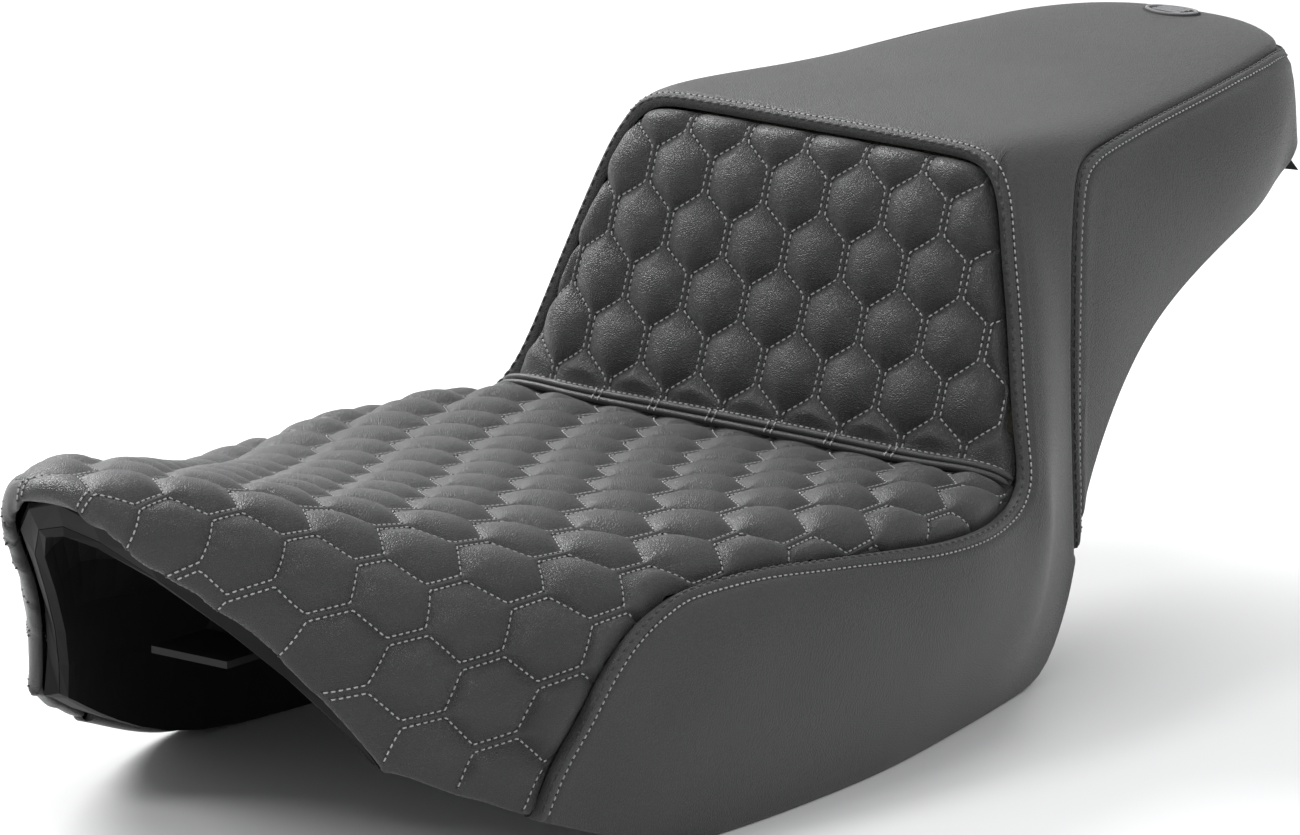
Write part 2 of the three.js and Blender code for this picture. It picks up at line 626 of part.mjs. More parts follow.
const seat = new THREE.Group();
seat.position.y = -ORIGIN_Y;

function place(name, geometry, look, x = 0, y = 0, z = 0) {
  const mesh = new THREE.Mesh(geometry, new THREE.MeshStandardMaterial(look));
  mesh.name = name;
  mesh.position.set(x, y, z);
  seat.add(mesh);
}

place('driver_quilt_panel', geometryOf(skins.driver), VINYL);
place('driver_quilt_padding', geometryOf(padding.driver), SCRIM);
place('backrest_quilt_panel', geometryOf(skins.backrest), VINYL);
place('backrest_quilt_padding', geometryOf(padding.backrest), SCRIM);
place('main_cover', geometryOf(laminate.main), VINYL);
place('passenger_band', geometryOf(laminate.band), VINYL);
place('backrest_welt', backrestWelt, VINYL);
place('listing_tongue', listingTongue(), SCRIM);
place('driver_foam', geometryOf(driverFoam), FOAM);
place('passenger_foam', geometryOf(passengerFoam), FOAM);
place('base_pan', geometryOf(basePan), PLASTIC);
place('edging_strip', geometryOf(edgingStrip), RUBBER);
place('badge_patch', badgePatch(), THREAD);
place('front_bracket', geometryOf(frontBracket), STEEL);
place('rear_bracket', geometryOf(rearBracket), STEEL);

for (const { end, side, x, y, face } of screwPlaces) {
  const underPlate = face - GAP - PLATE - GAP;
  place(`${end}_screw_${side}`, screwGeometry(), STEEL, x, y, underPlate);
  place(`${end}_insert_${side}`, insertGeometry(), BRASS, x, y, face);
}
for (const { row, side, x, y, face } of bumperPlaces) {
  place(`${row}_bumper_${side}`, bumperGeometry(), RUBBER, x, y, face - GAP);
}

export default seat;
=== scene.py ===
import math

import bmesh
import bpy
import numpy as np
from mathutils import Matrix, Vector
from mathutils.bvhtree import BVHTree


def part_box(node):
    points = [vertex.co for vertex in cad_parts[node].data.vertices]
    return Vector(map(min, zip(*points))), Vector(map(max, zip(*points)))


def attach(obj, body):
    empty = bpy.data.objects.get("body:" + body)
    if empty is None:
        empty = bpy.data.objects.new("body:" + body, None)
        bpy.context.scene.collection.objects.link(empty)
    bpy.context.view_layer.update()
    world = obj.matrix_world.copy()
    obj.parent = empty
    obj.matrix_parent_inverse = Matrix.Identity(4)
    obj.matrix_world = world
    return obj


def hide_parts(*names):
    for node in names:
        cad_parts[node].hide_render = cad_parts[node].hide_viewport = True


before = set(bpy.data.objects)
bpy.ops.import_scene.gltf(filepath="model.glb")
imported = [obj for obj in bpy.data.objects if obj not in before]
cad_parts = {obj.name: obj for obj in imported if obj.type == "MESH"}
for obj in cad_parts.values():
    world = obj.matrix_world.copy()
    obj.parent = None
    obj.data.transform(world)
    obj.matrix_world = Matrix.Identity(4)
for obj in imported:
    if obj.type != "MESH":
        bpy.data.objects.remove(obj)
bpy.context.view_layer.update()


# ---------------------------------------------------------------- camera, lights, floor
# The saddle stands on its skirts on a pale studio floor. The camera looks down on the
# rider's left side of the nose through a long lens. Four large soft boxes light it from
# above and from both sides, and a pale room fills the shadows.

CAMERA_AZIMUTH = math.radians(38.5)
CAMERA_ELEVATION = math.radians(14.25)
CAMERA_DISTANCE = 6.0
CAMERA_LENS = 393.8
SENSOR_WIDTH = 36
AIM = Vector((-0.030, 0.032, 0.1154))


def seen_from(azimuth, elevation, distance, target):
    """A place round the target. Azimuth 0 is in front of the nose, and 90 on its left."""
    level = math.cos(elevation)
    way = Vector((math.sin(azimuth) * level, -math.cos(azimuth) * level, math.sin(elevation)))
    return target + way * distance


def turned_to(thing, target):
    thing.rotation_euler = (target - thing.location).to_track_quat("-Z", "Y").to_euler()


camera_data = bpy.data.cameras.new("camera")
camera_data.sensor_width = SENSOR_WIDTH
camera_data.lens = CAMERA_LENS
camera_data.clip_end = 10 * CAMERA_DISTANCE
camera = bpy.data.objects.new("camera", camera_data)
camera.location = seen_from(CAMERA_AZIMUTH, CAMERA_ELEVATION, CAMERA_DISTANCE, AIM)
turned_to(camera, AIM)
bpy.context.scene.collection.objects.link(camera)
bpy.context.scene.camera = camera

# name, azimuth, elevation, distance, size, watts
SOFT_BOXES = [
    ("key_light", -102, 38, 1.5, 0.9, 24),
    ("top_light", 180, 76, 2.4, 1.2, 16),
    ("front_light", -12, 40, 3.0, 0.8, 27),
    ("side_light", 66, 34, 3.0, 0.9, 17),
]
for name, azimuth, elevation, distance, size, watts in SOFT_BOXES:
    light_data = bpy.data.lights.new(name, "AREA")
    light_data.shape = "DISK"
    light_data.size = size
    light_data.energy = watts
    light = bpy.data.objects.new(name, light_data)
    light.location = seen_from(math.radians(azimuth), math.radians(elevation), distance, AIM)
    turned_to(light, AIM)
    bpy.context.scene.collection.objects.link(light)

ROOM_COLOUR = (0.93, 0.94, 0.95, 1)
ROOM_STRENGTH = 0.62
room = bpy.data.worlds.new("room")
room.use_nodes = True
room.node_tree.nodes["Background"].inputs["Color"].default_value = ROOM_COLOUR
room.node_tree.nodes["Background"].inputs["Strength"].default_value = ROOM_STRENGTH
bpy.context.scene.world = room
bpy.context.scene.view_settings.view_transform = "Standard"


def new_piece(name, points, faces, smooth=True):
    """An object made of points and faces. Points that no face uses are dropped."""
    points = np.asarray(points, float).reshape(-1, 3)
    faces = [list(map(int, face)) for face in faces]
    used = np.unique([corner for face in faces for corner in face])
    renumbered = np.full(len(points), -1)
    renumbered[used] = np.arange(len(used))
    mesh = bpy.data.meshes.new(name)
    kept_faces = [[int(renumbered[corner]) for corner in face] for face in faces]
    mesh.from_pydata(points[used].tolist(), [], kept_faces)
    mesh.update()
    mesh.polygons.foreach_set("use_smooth", [smooth] * len(mesh.polygons))
    piece = bpy.data.objects.new(name, mesh)
    bpy.context.scene.collection.objects.link(piece)
    return piece


def new_material(name):
    """A material, its node tree and its shader."""
    material = bpy.data.materials.new(name)
    material.use_nodes = True
    return material, material.node_tree, material.node_tree.nodes["Principled BSDF"]


def linked(tree, kind, links=(), **values):
    """A node with its settings, its values, and links from other sockets into it."""
    node = tree.nodes.new(kind)
    for name, value in values.items():
        setattr(node, name, value)
    for socket, source in dict(links).items():
        if hasattr(source, "is_output"):
            tree.links.new(source, node.inputs[socket])
        else:
            node.inputs[socket].default_value = source
    return node


FLOOR_HALF = 9.0
FLOOR_HEIGHT = -0.0004
floor = new_piece("studio_floor", [
    (-FLOOR_HALF, -FLOOR_HALF, FLOOR_HEIGHT), (FLOOR_HALF, -FLOOR_HALF, FLOOR_HEIGHT),
    (FLOOR_HALF, FLOOR_HALF, FLOOR_HEIGHT), (-FLOOR_HALF, FLOOR_HALF, FLOOR_HEIGHT),
], [(0, 1, 2, 3)], smooth=False)
floor_paint, floor_tree, floor_shader = new_material("floor_paint")
floor_mottle = linked(floor_tree, "ShaderNodeTexNoise", {"Scale": 1.5})
floor_tone = linked(floor_tree, "ShaderNodeMapRange", {
    "Value": floor_mottle.outputs["Fac"], "To Min": 0.84, "To Max": 0.88})
floor_tree.links.new(floor_tone.outputs["Result"], floor_shader.inputs["Base Color"])
floor_shader.inputs["Roughness"].default_value = 0.9
floor.data.materials.append(floor_paint)


# ---------------------------------------------------------------- driver's quilted panel
# Soft black vinyl sewn through a foam backing in hexagons and drawn over the nose and
# the front skirts. Zigzag rows of thread run from the fold to the nose; where two rows
# meet they lie side by side, so that each hexagon has two double and four single sides.

MM = 0.001
# The cover's surface, left half, in mm: one row for each rib, from the nose to the tail,
# and in each the centre, inner, crest, shoulder, flank, low and lower edge points.
COVER_RIBS = [
    [(0, -382, 168), (20, -380, 164), (38, -366, 149), (55, -338, 124), (70, -314, 101),
     (83, -298, 77), (96, -284, 56)],
    [(0, -377, 177), (24, -372, 174), (47, -352, 160), (67, -324, 134), (84, -300, 107),
     (96, -283, 77), (106, -266, 46)],
    [(0, -348, 178), (28, -340, 176), (56, -321, 162), (81, -296, 138), (100, -276, 107),
     (111, -259, 71), (118, -240, 34)],
    [(0, -296, 166), (32, -290, 164), (64, -276, 153), (93, -254, 132), (117, -236, 102),
     (127, -219, 63), (129, -205, 21)],
    [(0, -230, 149), (36, -228, 148), (72, -222, 142), (106, -204, 127), (135, -192, 100),
     (142, -181, 55), (137, -162, 6)],
    [(0, -160, 136), (40, -160, 135), (81, -156, 130), (119, -148, 120), (148, -140, 97),
     (150, -132, 50), (140, -120, 0)],
    [(0, -90, 127), (42, -90, 127), (86, -88, 125), (127, -84, 119), (154, -80, 98),
     (153, -74, 48), (139, -66, 0)],
    [(0, -25, 120), (44, -25, 120), (91, -24, 120), (134, -22, 116), (157, -19, 94),
     (152, -14, 46), (134, -8, 0)],
    [(0, 25, 115), (44, 25, 115), (94, 26, 116), (137, 28, 112), (156, 32, 89),
     (147, 36, 44), (125, 38, 0)],
    [(0, 52, 112), (46, 53, 112), (96, 56, 113), (135, 60, 109), (149, 68, 86),
     (141, 72, 42), (117, 75, 0)],
    [(0, 66, 113), (46, 67, 113), (98, 70, 112), (134, 76, 112), (146, 90, 90),
     (134, 96, 44), (110, 104, 0)],
    [(0, 74, 128), (46, 74, 128), (96, 76, 128), (129, 84, 128), (137, 102, 108),
     (127, 112, 52), (106, 122, 1)],
    [(0, 86, 160), (44, 86, 160), (90, 87, 160), (121, 94, 160), (128, 114, 135),
     (121, 126, 66), (104, 140, 4)],
    [(0, 99, 200), (42, 99, 200), (84, 100, 200), (112, 107, 197), (119, 128, 160),
     (115, 140, 84), (104, 152, 20)],
    [(0, 110, 229), (38, 110, 229), (76, 111, 228), (103, 117, 222), (114, 136, 180),
     (111, 150, 104), (106, 160, 46)],
    [(0, 126, 237), (36, 126, 237), (71, 127, 236), (99, 132, 230), (111, 149, 192),
     (110, 162, 126), (105, 168, 74)],
    [(0, 165, 237), (36, 165, 237), (70, 166, 235), (98, 170, 230), (109, 182, 198),
     (108, 187, 150), (104, 187, 107)],
    [(0, 220, 235), (36, 220, 235), (69, 220, 233), (94, 222, 227), (105, 226, 203),
     (104, 226, 172), (100, 224, 142)],
    [(0, 280, 235), (35, 280, 235), (66, 279, 233), (89, 279, 227), (99, 280, 206),
     (99, 280, 182), (95, 278, 164)],
    [(0, 335, 237), (32, 335, 237), (61, 331, 235), (80, 325, 228), (91, 320, 210),
     (92, 318, 190), (90, 312, 174)],
    [(0, 380, 237), (27, 378, 237), (52, 369, 234), (71, 354, 227), (83, 342, 212),
     (86, 336, 196), (84, 332, 181)],
    [(0, 401, 224), (25, 399, 224), (46, 389, 221), (64, 373, 217), (75, 358, 208),
     (80, 350, 198), (80, 346, 185)],
    [(0, 402, 196), (24, 400, 196), (44, 391, 195), (61, 377, 193), (72, 365, 191),
     (77, 357, 190), (79, 352, 188)],
]
RIB_SHIFT = 10.2  # the ribs are measured from a point this far behind the saddle's middle
LAST_RIB = len(COVER_RIBS) - 1
LAST_COLUMN = len(COVER_RIBS[0]) - 1
# Seams of the cover, left half, as rib and column numbers from the lower edge inwards.
QUILT_SEAM = [
    (2.5, 6), (3.0, 5.33), (3.45, 4.82), (3.8, 4.43), (4.2, 4.06), (4.6, 3.78), (5.0, 3.6),
    (5.6, 3.57), (6.2, 3.66), (6.9, 3.72), (7.5, 3.73), (8.2, 3.64), (9.0, 3.44),
    (9.65, 3.25), (10.4, 3.12), (11.1, 3.05), (12.1, 2.96), (12.9, 2.82), (13.6, 2.76),
    (14.0, 2.62), (14.25, 2.35), (14.36, 1.9), (14.37, 1.0), (14.37, 0),
]
TOP_SEAM_RIB = QUILT_SEAM[-1][0]
WELT_RIB = 10.0
WELT_END = (9.65, 3.25)
MARGIN = 0.01  # outlines reach this far past the centre line and the edges, in rib numbers


def knots_for(points, before, after):
    """Moves control points so that the smooth curve runs through the points given."""
    padded = np.concatenate([before[None], points, after[None]])
    return points - (padded[:-2] - 2 * points + padded[2:]) / 6


def cover_controls():
    ribs = np.array(COVER_RIBS, float) * MM
    ribs[..., 1] -= RIB_SHIFT * MM
    ribs = knots_for(ribs, 2 * ribs[0] - ribs[1], 2 * ribs[-1] - ribs[-2])
    across = ribs.transpose(1, 0, 2)
    mirror = np.array([-1, 1, 1])
    across = knots_for(across, across[1] * mirror, 2 * across[-1] - across[-2])
    edge = 2 * across[-1] - across[-2]
    across = np.concatenate([(across[1] * mirror)[None], across, edge[None]])
    ribs = across.transpose(1, 0, 2)
    return np.concatenate([(2 * ribs[0] - ribs[1])[None], ribs, (2 * ribs[-1] - ribs[-2])[None]])


CONTROLS = cover_controls()


def spline_weights(share):
    return np.stack([
        (1 - share) ** 3 / 6, (3 * share ** 3 - 6 * share ** 2 + 4) / 6,
        (-3 * share ** 3 + 3 * share ** 2 + 3 * share + 1) / 6, share ** 3 / 6,
    ], -1)


def cover_point(rib, column):
    """Points of the cover's surface. A negative column is on the right half."""
    rib, column = np.broadcast_arrays(np.asarray(rib, float), np.asarray(column, float))
    u = np.clip(rib, 0, LAST_RIB - 1e-9)
    v = np.clip(np.abs(column), 0, LAST_COLUMN - 1e-9)
    i = np.floor(u).astype(int)
    j = np.floor(v).astype(int)
    weights_u = spline_weights(u - i)
    weights_v = spline_weights(v - j)
    total = 0
    for a in range(4):
        for b in range(4):
            weight = (weights_u[..., a] * weights_v[..., b])[..., None]
            total = total + weight * CONTROLS[i + a, j + b]
    total[..., 0] *= np.where(column < 0, -1, 1)
    total[..., 2] = np.maximum(total[..., 2], 0)
    return total


def unit(vectors):
    return vectors / np.maximum(np.linalg.norm(vectors, axis=-1, keepdims=True), 1e-12)


SLOPE_STEP = 0.02


def cover_slopes(rib, column):
    """Unit steps along and across the surface, and its outward normal."""
    u = np.clip(rib, SLOPE_STEP, LAST_RIB - SLOPE_STEP)
    v = np.clip(column, -LAST_COLUMN + SLOPE_STEP, LAST_COLUMN - SLOPE_STEP)
    along = unit(cover_point(u + SLOPE_STEP, v) - cover_point(u - SLOPE_STEP, v))
    across = unit(cover_point(u, v + SLOPE_STEP) - cover_point(u, v - SLOPE_STEP))
    return along, across, unit(np.cross(across, along))


def length_so_far(places):
    """Distance along a line from its start to each place, for one line or rows of them."""
    steps = np.linalg.norm(np.diff(places, axis=-2), axis=-1)
    return np.concatenate([np.zeros(steps.shape[:-1] + (1,)), np.cumsum(steps, axis=-1)], -1)


HEM_RADIUS = 3.4 * MM  # the vinyl turns under the edge of its backing in this round
HEM_RETURN = 3 * MM  # and runs back in under it this far
HEM_REACH = HEM_RADIUS * math.pi + HEM_RETURN


def hemmed(rib, column, beyond_rib, beyond_column):
    """Places and normals of points that may lie past the edge, where the vinyl turns
    under. beyond_rib and beyond_column are the distances past the two edges."""
    place = cover_point(rib, column)
    along, across, normal = cover_slopes(rib, column)
    side = np.where(np.asarray(column) < 0, -1, 1)[..., None]
    end = np.where(np.asarray(rib) > LAST_RIB / 2, 1, -1)[..., None]
    out = unit(beyond_rib[..., None] * along * end + beyond_column[..., None] * across * side)
    beyond = np.hypot(beyond_rib, beyond_column)
    turn = np.minimum(beyond / HEM_RADIUS, math.pi)[..., None]
    inward = np.maximum(beyond - HEM_RADIUS * math.pi, 0)[..., None]
    rolled = (place + out * (HEM_RADIUS * np.sin(turn) - inward)
              - normal * HEM_RADIUS * (1 - np.cos(turn)))
    facing = unit(out * np.sin(turn) + normal * np.cos(turn))
    past = beyond[..., None] > 0
    return np.where(past, rolled, place), np.where(past, facing, normal)


# The quilting is laid out flat, across in hexagon widths from the centre line and along
# in rows counted from the fold: row 0 is on the welt.
HEX_WIDTH_FOLD = 31.5 * MM
HEX_WIDTH_NOSE = 35.6 * MM  # the panel is stretched wider over the thighs
HEX_WIDENING = 200 * MM
ROW_SEAT = 29.4 * MM
ROW_NOSE = 26.0 * MM
NOSE_ROW = 11.3  # from this row on the rows lie closer
FIRST_ROW_Y = (73 - RIB_SHIFT) * MM
SKIRT_LEAN = 10 * MM  # rows sweep back this much on the skirts
LEAN_START = 100 * MM
LEAN_LENGTH = 90 * MM
LEAN_ROWS = 6  # the sweep grows over the first rows
FLAT_HALF = 0.32  # half of a hexagon's double side, in rows
TWIN_HALF = 1.7 * MM  # half the distance between two rows of thread side by side


def seat_row_y(row):
    near = np.minimum(row, NOSE_ROW)
    return FIRST_ROW_Y - near * ROW_SEAT - (row - near) * ROW_NOSE


def smooth_step(value, start, end):
    share = np.clip((value - start) / (end - start), 0, 1)
    return share * share * (3 - 2 * share)


def seat_hex_width(y):
    widened = smooth_step(seat_row_y(0) - y, 0, HEX_WIDENING)
    return HEX_WIDTH_FOLD + (HEX_WIDTH_NOSE - HEX_WIDTH_FOLD) * widened


# Sections across the saddle at equal Y, with the distance round each from its middle.
SECTION_Y = np.linspace(-0.420, 0.080, 251)
SECTION_COLUMNS = np.linspace(0, LAST_COLUMN, 181)
SECTION_RIBS = np.linspace(0, 10.8, 700)
RIB_REACH = 20 * MM  # a rib number below 0 stands for this distance past the nose rim
RIM_RIBS = 4  # sections past the rim go on with the slope of this many
STEEPEST = 3


def cut_sections():
    mesh = cover_point(SECTION_RIBS[:, None], SECTION_COLUMNS[None, :])
    ribs = np.zeros((len(SECTION_Y), len(SECTION_COLUMNS)))
    for j in range(len(SECTION_COLUMNS)):
        y = np.maximum.accumulate(mesh[:, j, 1])
        ribs[:, j] = np.interp(SECTION_Y, y, SECTION_RIBS)
        rim = mesh[RIM_RIBS, j] - mesh[0, j]
        slope = np.linalg.norm(rim) / max(rim[1], 1e-4)
        short = np.maximum(y[0] - SECTION_Y, 0) * min(slope, STEEPEST)
        ribs[:, j] = np.where(short > 0, -short / RIB_REACH, ribs[:, j])
    return ribs, length_so_far(cover_point(ribs, SECTION_COLUMNS[None, :]))


SECTION_RIB_AT, SECTION_ROUND = cut_sections()


def on_seat(across, row):
    """Rib and column numbers, and distances past the edge, of places in the seat's quilting."""
    shape = np.shape(across)
    across = np.ravel(across)
    base_y = seat_row_y(np.ravel(row))
    y = base_y
    for _ in range(3):
        reach = np.abs(across) * seat_hex_width(y)
        lean = np.clip((reach - LEAN_START) / LEAN_LENGTH, 0, 1)
        y = base_y + SKIRT_LEAN * lean * np.clip(np.ravel(row) / LEAN_ROWS, 0, 1)
    k = np.interp(y, SECTION_Y, np.arange(len(SECTION_Y)))
    k0 = np.minimum(k.astype(int), len(SECTION_Y) - 2)
    share = (k - k0)[:, None]
    round_at = SECTION_ROUND[k0] * (1 - share) + SECTION_ROUND[k0 + 1] * share
    rib_at = SECTION_RIB_AT[k0] * (1 - share) + SECTION_RIB_AT[k0 + 1] * share
    j = np.clip((round_at < reach[:, None]).sum(1), 1, len(SECTION_COLUMNS) - 1)
    rows = np.arange(len(reach))
    low, high = round_at[rows, j - 1], round_at[rows, j]
    part = np.clip((reach - low) / np.maximum(high - low, 1e-9), 0, 1)
    column = SECTION_COLUMNS[j - 1] * (1 - part) + SECTION_COLUMNS[j] * part
    rib = rib_at[rows, j - 1] * (1 - part) + rib_at[rows, j] * part
    past_side = np.maximum(reach - round_at[:, -1], 0)
    past_nose = np.maximum(-rib, 0) * RIB_REACH
    side = np.where(across < 0, -1, 1)
    numbers = (np.maximum(rib, 0), column * side, past_nose, past_side)
    return [part.reshape(shape) for part in numbers]


def thread_row_at(number, row):
    """How far across thread row number lies, in hexagon widths. It swings between
    number / 2 and (number + 1) / 2, and keeps beside its neighbour on the double sides."""
    row = np.asarray(row, float)
    nearest = np.round(row)
    offset = row - nearest
    twin = TWIN_HALF / HEX_WIDTH_NOSE

    def column_of(whole_row):
        left = (number + whole_row) % 2 == 1
        return np.where(left, number / 2 + twin, (number + 1) / 2 - twin)

    neighbour = nearest + np.sign(offset)
    share = np.clip((np.abs(offset) - FLAT_HALF) / (1 - 2 * FLAT_HALF), 0, 1)
    return column_of(nearest) * (1 - share) + column_of(neighbour) * share


CELLS_ACROSS = np.array([0, 0.05, 0.14, 0.29, 0.5, 0.71, 0.86, 0.95])
FLAT_CELLS = 4
SLANT_CELLS = 4


def quilt_rows(first, last):
    """Row values from first to last that meet every corner of the hexagons."""
    rows = []
    for whole in range(math.floor(first) - 1, math.ceil(last) + 1):
        rows.extend(np.linspace(whole - FLAT_HALF, whole + FLAT_HALF, FLAT_CELLS + 1)[:-1])
        rows.extend(np.linspace(whole + FLAT_HALF, whole + 1 - FLAT_HALF, SLANT_CELLS + 1)[:-1])
    rows = np.array(rows)
    return rows[(rows >= first - 1e-6) & (rows <= last + 1e-6)]


def quilt_layout(half_count, rows):
    """A grid that follows the thread rows: across and row of each point."""
    across = []
    for number in range(-half_count, half_count):
        left = thread_row_at(number - 1, rows)
        right = thread_row_at(number, rows)
        for share in CELLS_ACROSS:
            across.append(left + (right - left) * share)
    across = np.array(across).T
    return across, np.broadcast_to(rows[:, None], across.shape)


def thread_distance(across, row, row_size):
    """Distance of each point from the nearest thread, in metres."""
    number = np.floor(across * 2).astype(int)
    nearest = np.full(across.shape, 1.0)
    for beside in (-2, -1, 0, 1):
        for first in (-1, 0, 1):
            whole = np.round(row) + first
            corners = [whole - FLAT_HALF, whole + FLAT_HALF, whole + 1 - FLAT_HALF]
            line = number + beside
            for start, end in ((corners[0], corners[1]), (corners[1], corners[2])):
                x0 = thread_row_at(line, start) * HEX_WIDTH_FOLD
                x1 = thread_row_at(line, end) * HEX_WIDTH_FOLD
                y0, y1 = start * row_size, end * row_size
                px, py = across * HEX_WIDTH_FOLD - x0, row * row_size - y0
                dx, dy = x1 - x0, y1 - y0
                along = np.clip((px * dx + py * dy) / (dx * dx + dy * dy), 0, 1)
                nearest = np.minimum(nearest, np.hypot(px - along * dx, py - along * dy))
    return nearest


CURVE_STEPS = 14


def seam_curve(half_seam):
    """A smooth line of rib and column numbers through a seam's points."""
    points = np.array(half_seam, float)
    padded = np.concatenate([[2 * points[0] - points[1]], points, [2 * points[-1] - points[-2]]])
    line = []
    for i in range(len(points) - 1):
        p0, p1, p2, p3 = padded[i:i + 4]
        for t in np.linspace(0, 1, CURVE_STEPS, endpoint=False):
            line.append(0.5 * (2 * p1 + (p2 - p0) * t + (2 * p0 - 5 * p1 + 4 * p2 - p3) * t ** 2
                               + (3 * p1 - p0 - 3 * p2 + p3) * t ** 3))
    return np.array(line + [points[-1]])


def welt_rib(column):
    share = (np.asarray(column) / WELT_END[1]) ** 2
    return WELT_RIB + (WELT_END[0] - WELT_RIB) * share


quilt_seam_line = seam_curve(QUILT_SEAM)
welt_columns = np.linspace(WELT_END[1], 0, 60)
welt_line = np.stack([welt_rib(welt_columns), welt_columns], 1)


def distance_to_line(points, line):
    """Distance of points from a line of rib and column numbers or its mirror image."""
    near = points * np.where(points[..., :1] < 0, [-1, 1, 1], [1, 1, 1])
    stakes = cover_point(line[:, 0], line[:, 1])
    flat = near.reshape(-1, 3)
    best = np.full(len(flat), np.inf)
    for start, end in zip(stakes[:-1], stakes[1:]):
        leg = end - start
        along = np.clip((flat - start) @ leg / max(leg @ leg, 1e-12), 0, 1)
        best = np.minimum(best, ((flat - start - along[:, None] * leg) ** 2).sum(1))
    return np.sqrt(best).reshape(points.shape[:-1])


def inside_outline(rib, column, outline):
    """True where rib and column lie inside a closed outline of such numbers."""
    column = np.abs(column)
    inside = np.zeros(np.shape(rib), bool)
    for (u0, v0), (u1, v1) in zip(outline, np.roll(outline, -1, axis=0)):
        crosses = (v0 > column) != (v1 > column)
        at = u0 + (column - v0) / (v1 - v0 if v1 != v0 else 1e-9) * (u1 - u0)
        inside ^= crosses & (rib < at)
    return inside


VALLEY = 2.6 * MM  # the thread lies this far under the cover's surface
UNDERLAP = 5 * MM  # the panel runs this far under its neighbour's folded edge
PUFF_REACH = 13 * MM  # a puff is at its full height this far from the thread
PUFF_ROUNDNESS = 2.1


def puffed(distance, height):
    share = np.clip(distance / PUFF_REACH, 0, 1)
    return height * (1 - (1 - share) ** PUFF_ROUNDNESS)


SEAM_DIP = 2.475 * MM  # the panel is drawn in this far at its seams
SEAM_DIP_WIDTH = 7 * MM
SEAM_DIVE = 0.9  # slope of the panel under its neighbour
SEAM_DIVE_WIDTH = 3 * MM


def sunk_at_seam(distance, inside):
    """How far a panel sinks where it runs into a seam and on under the other piece."""
    sinks = (1 - smooth_step(distance, 0, SEAM_DIP_WIDTH)) * SEAM_DIP
    under = SEAM_DIP + np.minimum(distance, SEAM_DIVE_WIDTH) * SEAM_DIVE
    return np.where(inside, sinks, under)


# Pressure swells the sewn sheet between its threads, which are held.
SWELL_FRAMES = 20
SWELL_LIMIT = 3.2 * MM
VINYL_MASS = 0.35
VINYL_STRETCH = 22
VINYL_SHEAR = 12
VINYL_BENDING = 1.2


def swollen(piece, held, share, pressure, slack):
    """Cloth simulation of one sewn panel, applied to its mesh. share is how much of the
    movement each point takes."""
    scene = bpy.context.scene
    before = np.zeros(len(piece.data.vertices) * 3)
    piece.data.vertices.foreach_get("co", before)
    before = before.reshape(-1, 3)
    group = piece.vertex_groups.new(name="held")
    group.add([int(i) for i in np.nonzero(held)[0]], 1.0, "REPLACE")
    cloth = piece.modifiers.new("swell", "CLOTH")
    cloth.settings.vertex_group_mass = "held"
    cloth.settings.quality = 6
    cloth.settings.mass = VINYL_MASS
    cloth.settings.tension_stiffness = VINYL_STRETCH
    cloth.settings.compression_stiffness = VINYL_STRETCH
    cloth.settings.shear_stiffness = VINYL_SHEAR
    cloth.settings.bending_stiffness = VINYL_BENDING
    cloth.settings.air_damping = 3
    cloth.settings.shrink_min = -slack
    cloth.settings.use_pressure = True
    cloth.settings.uniform_pressure_force = pressure
    cloth.settings.effector_weights.gravity = 0
    cloth.collision_settings.use_collision = False
    cloth.point_cache.frame_start = 1
    cloth.point_cache.frame_end = SWELL_FRAMES
    for number in range(1, SWELL_FRAMES + 1):
        scene.frame_set(number)
    graph = bpy.context.evaluated_depsgraph_get()
    result = piece.evaluated_get(graph).to_mesh()
    after = np.zeros(len(result.vertices) * 3)
    result.vertices.foreach_get("co", after)
    piece.evaluated_get(graph).to_mesh_clear()
    piece.modifiers.remove(cloth)
    piece.vertex_groups.clear()
    scene.frame_set(1)
    move = np.nan_to_num(after.reshape(-1, 3) - before)
    length = np.linalg.norm(move, axis=1, keepdims=True)
    move = move * np.minimum(1, SWELL_LIMIT / np.maximum(length, 1e-9)) * share[:, None]
    piece.data.vertices.foreach_set("co", (before + move).ravel())


def rounder(piece):
    """Subdivides a piece's mesh once and keeps the result as plain faces."""
    rounding = piece.modifiers.new("rounder", "SUBSURF")
    rounding.levels = 1
    rounding.render_levels = 1
    graph = bpy.context.evaluated_depsgraph_get()
    mesh = bpy.data.meshes.new_from_object(piece.evaluated_get(graph))
    piece.modifiers.remove(rounding)
    piece.data = mesh
    mesh.polygons.foreach_set("use_smooth", [True] * len(mesh.polygons))


def grid_faces(rows, columns, keep=None):
    """The quads of a grid of rows x columns points, as rows of four point numbers."""
    at = np.arange(rows * columns).reshape(rows, columns)
    quads = np.stack([at[:-1, :-1], at[1:, :-1], at[1:, 1:], at[:-1, 1:]], -1).reshape(-1, 4)
    return quads if keep is None else quads[keep.reshape(-1)[quads].all(1)]


nose_edge_line = np.array([(0.0, v) for v in np.linspace(LAST_COLUMN, 0, 40)])
lower_edge_line = np.array([(u, LAST_COLUMN) for u in np.linspace(0, 4, 40)])
NOSE_FADE = (2 * MM, 28 * MM)  # the puffs die away towards the nose and the lower edge
LOWER_FADE = (0.5 * MM, 11 * MM)
PANEL_DROP = 0.5 * MM
HELD_BY_THREAD = 0.3 * MM  # points this close to a thread or a seam don't swell
HELD_BY_SEAM = 2.5 * MM
SEAM_PUFF = 1.3  # puffs beside a seam rise this much faster


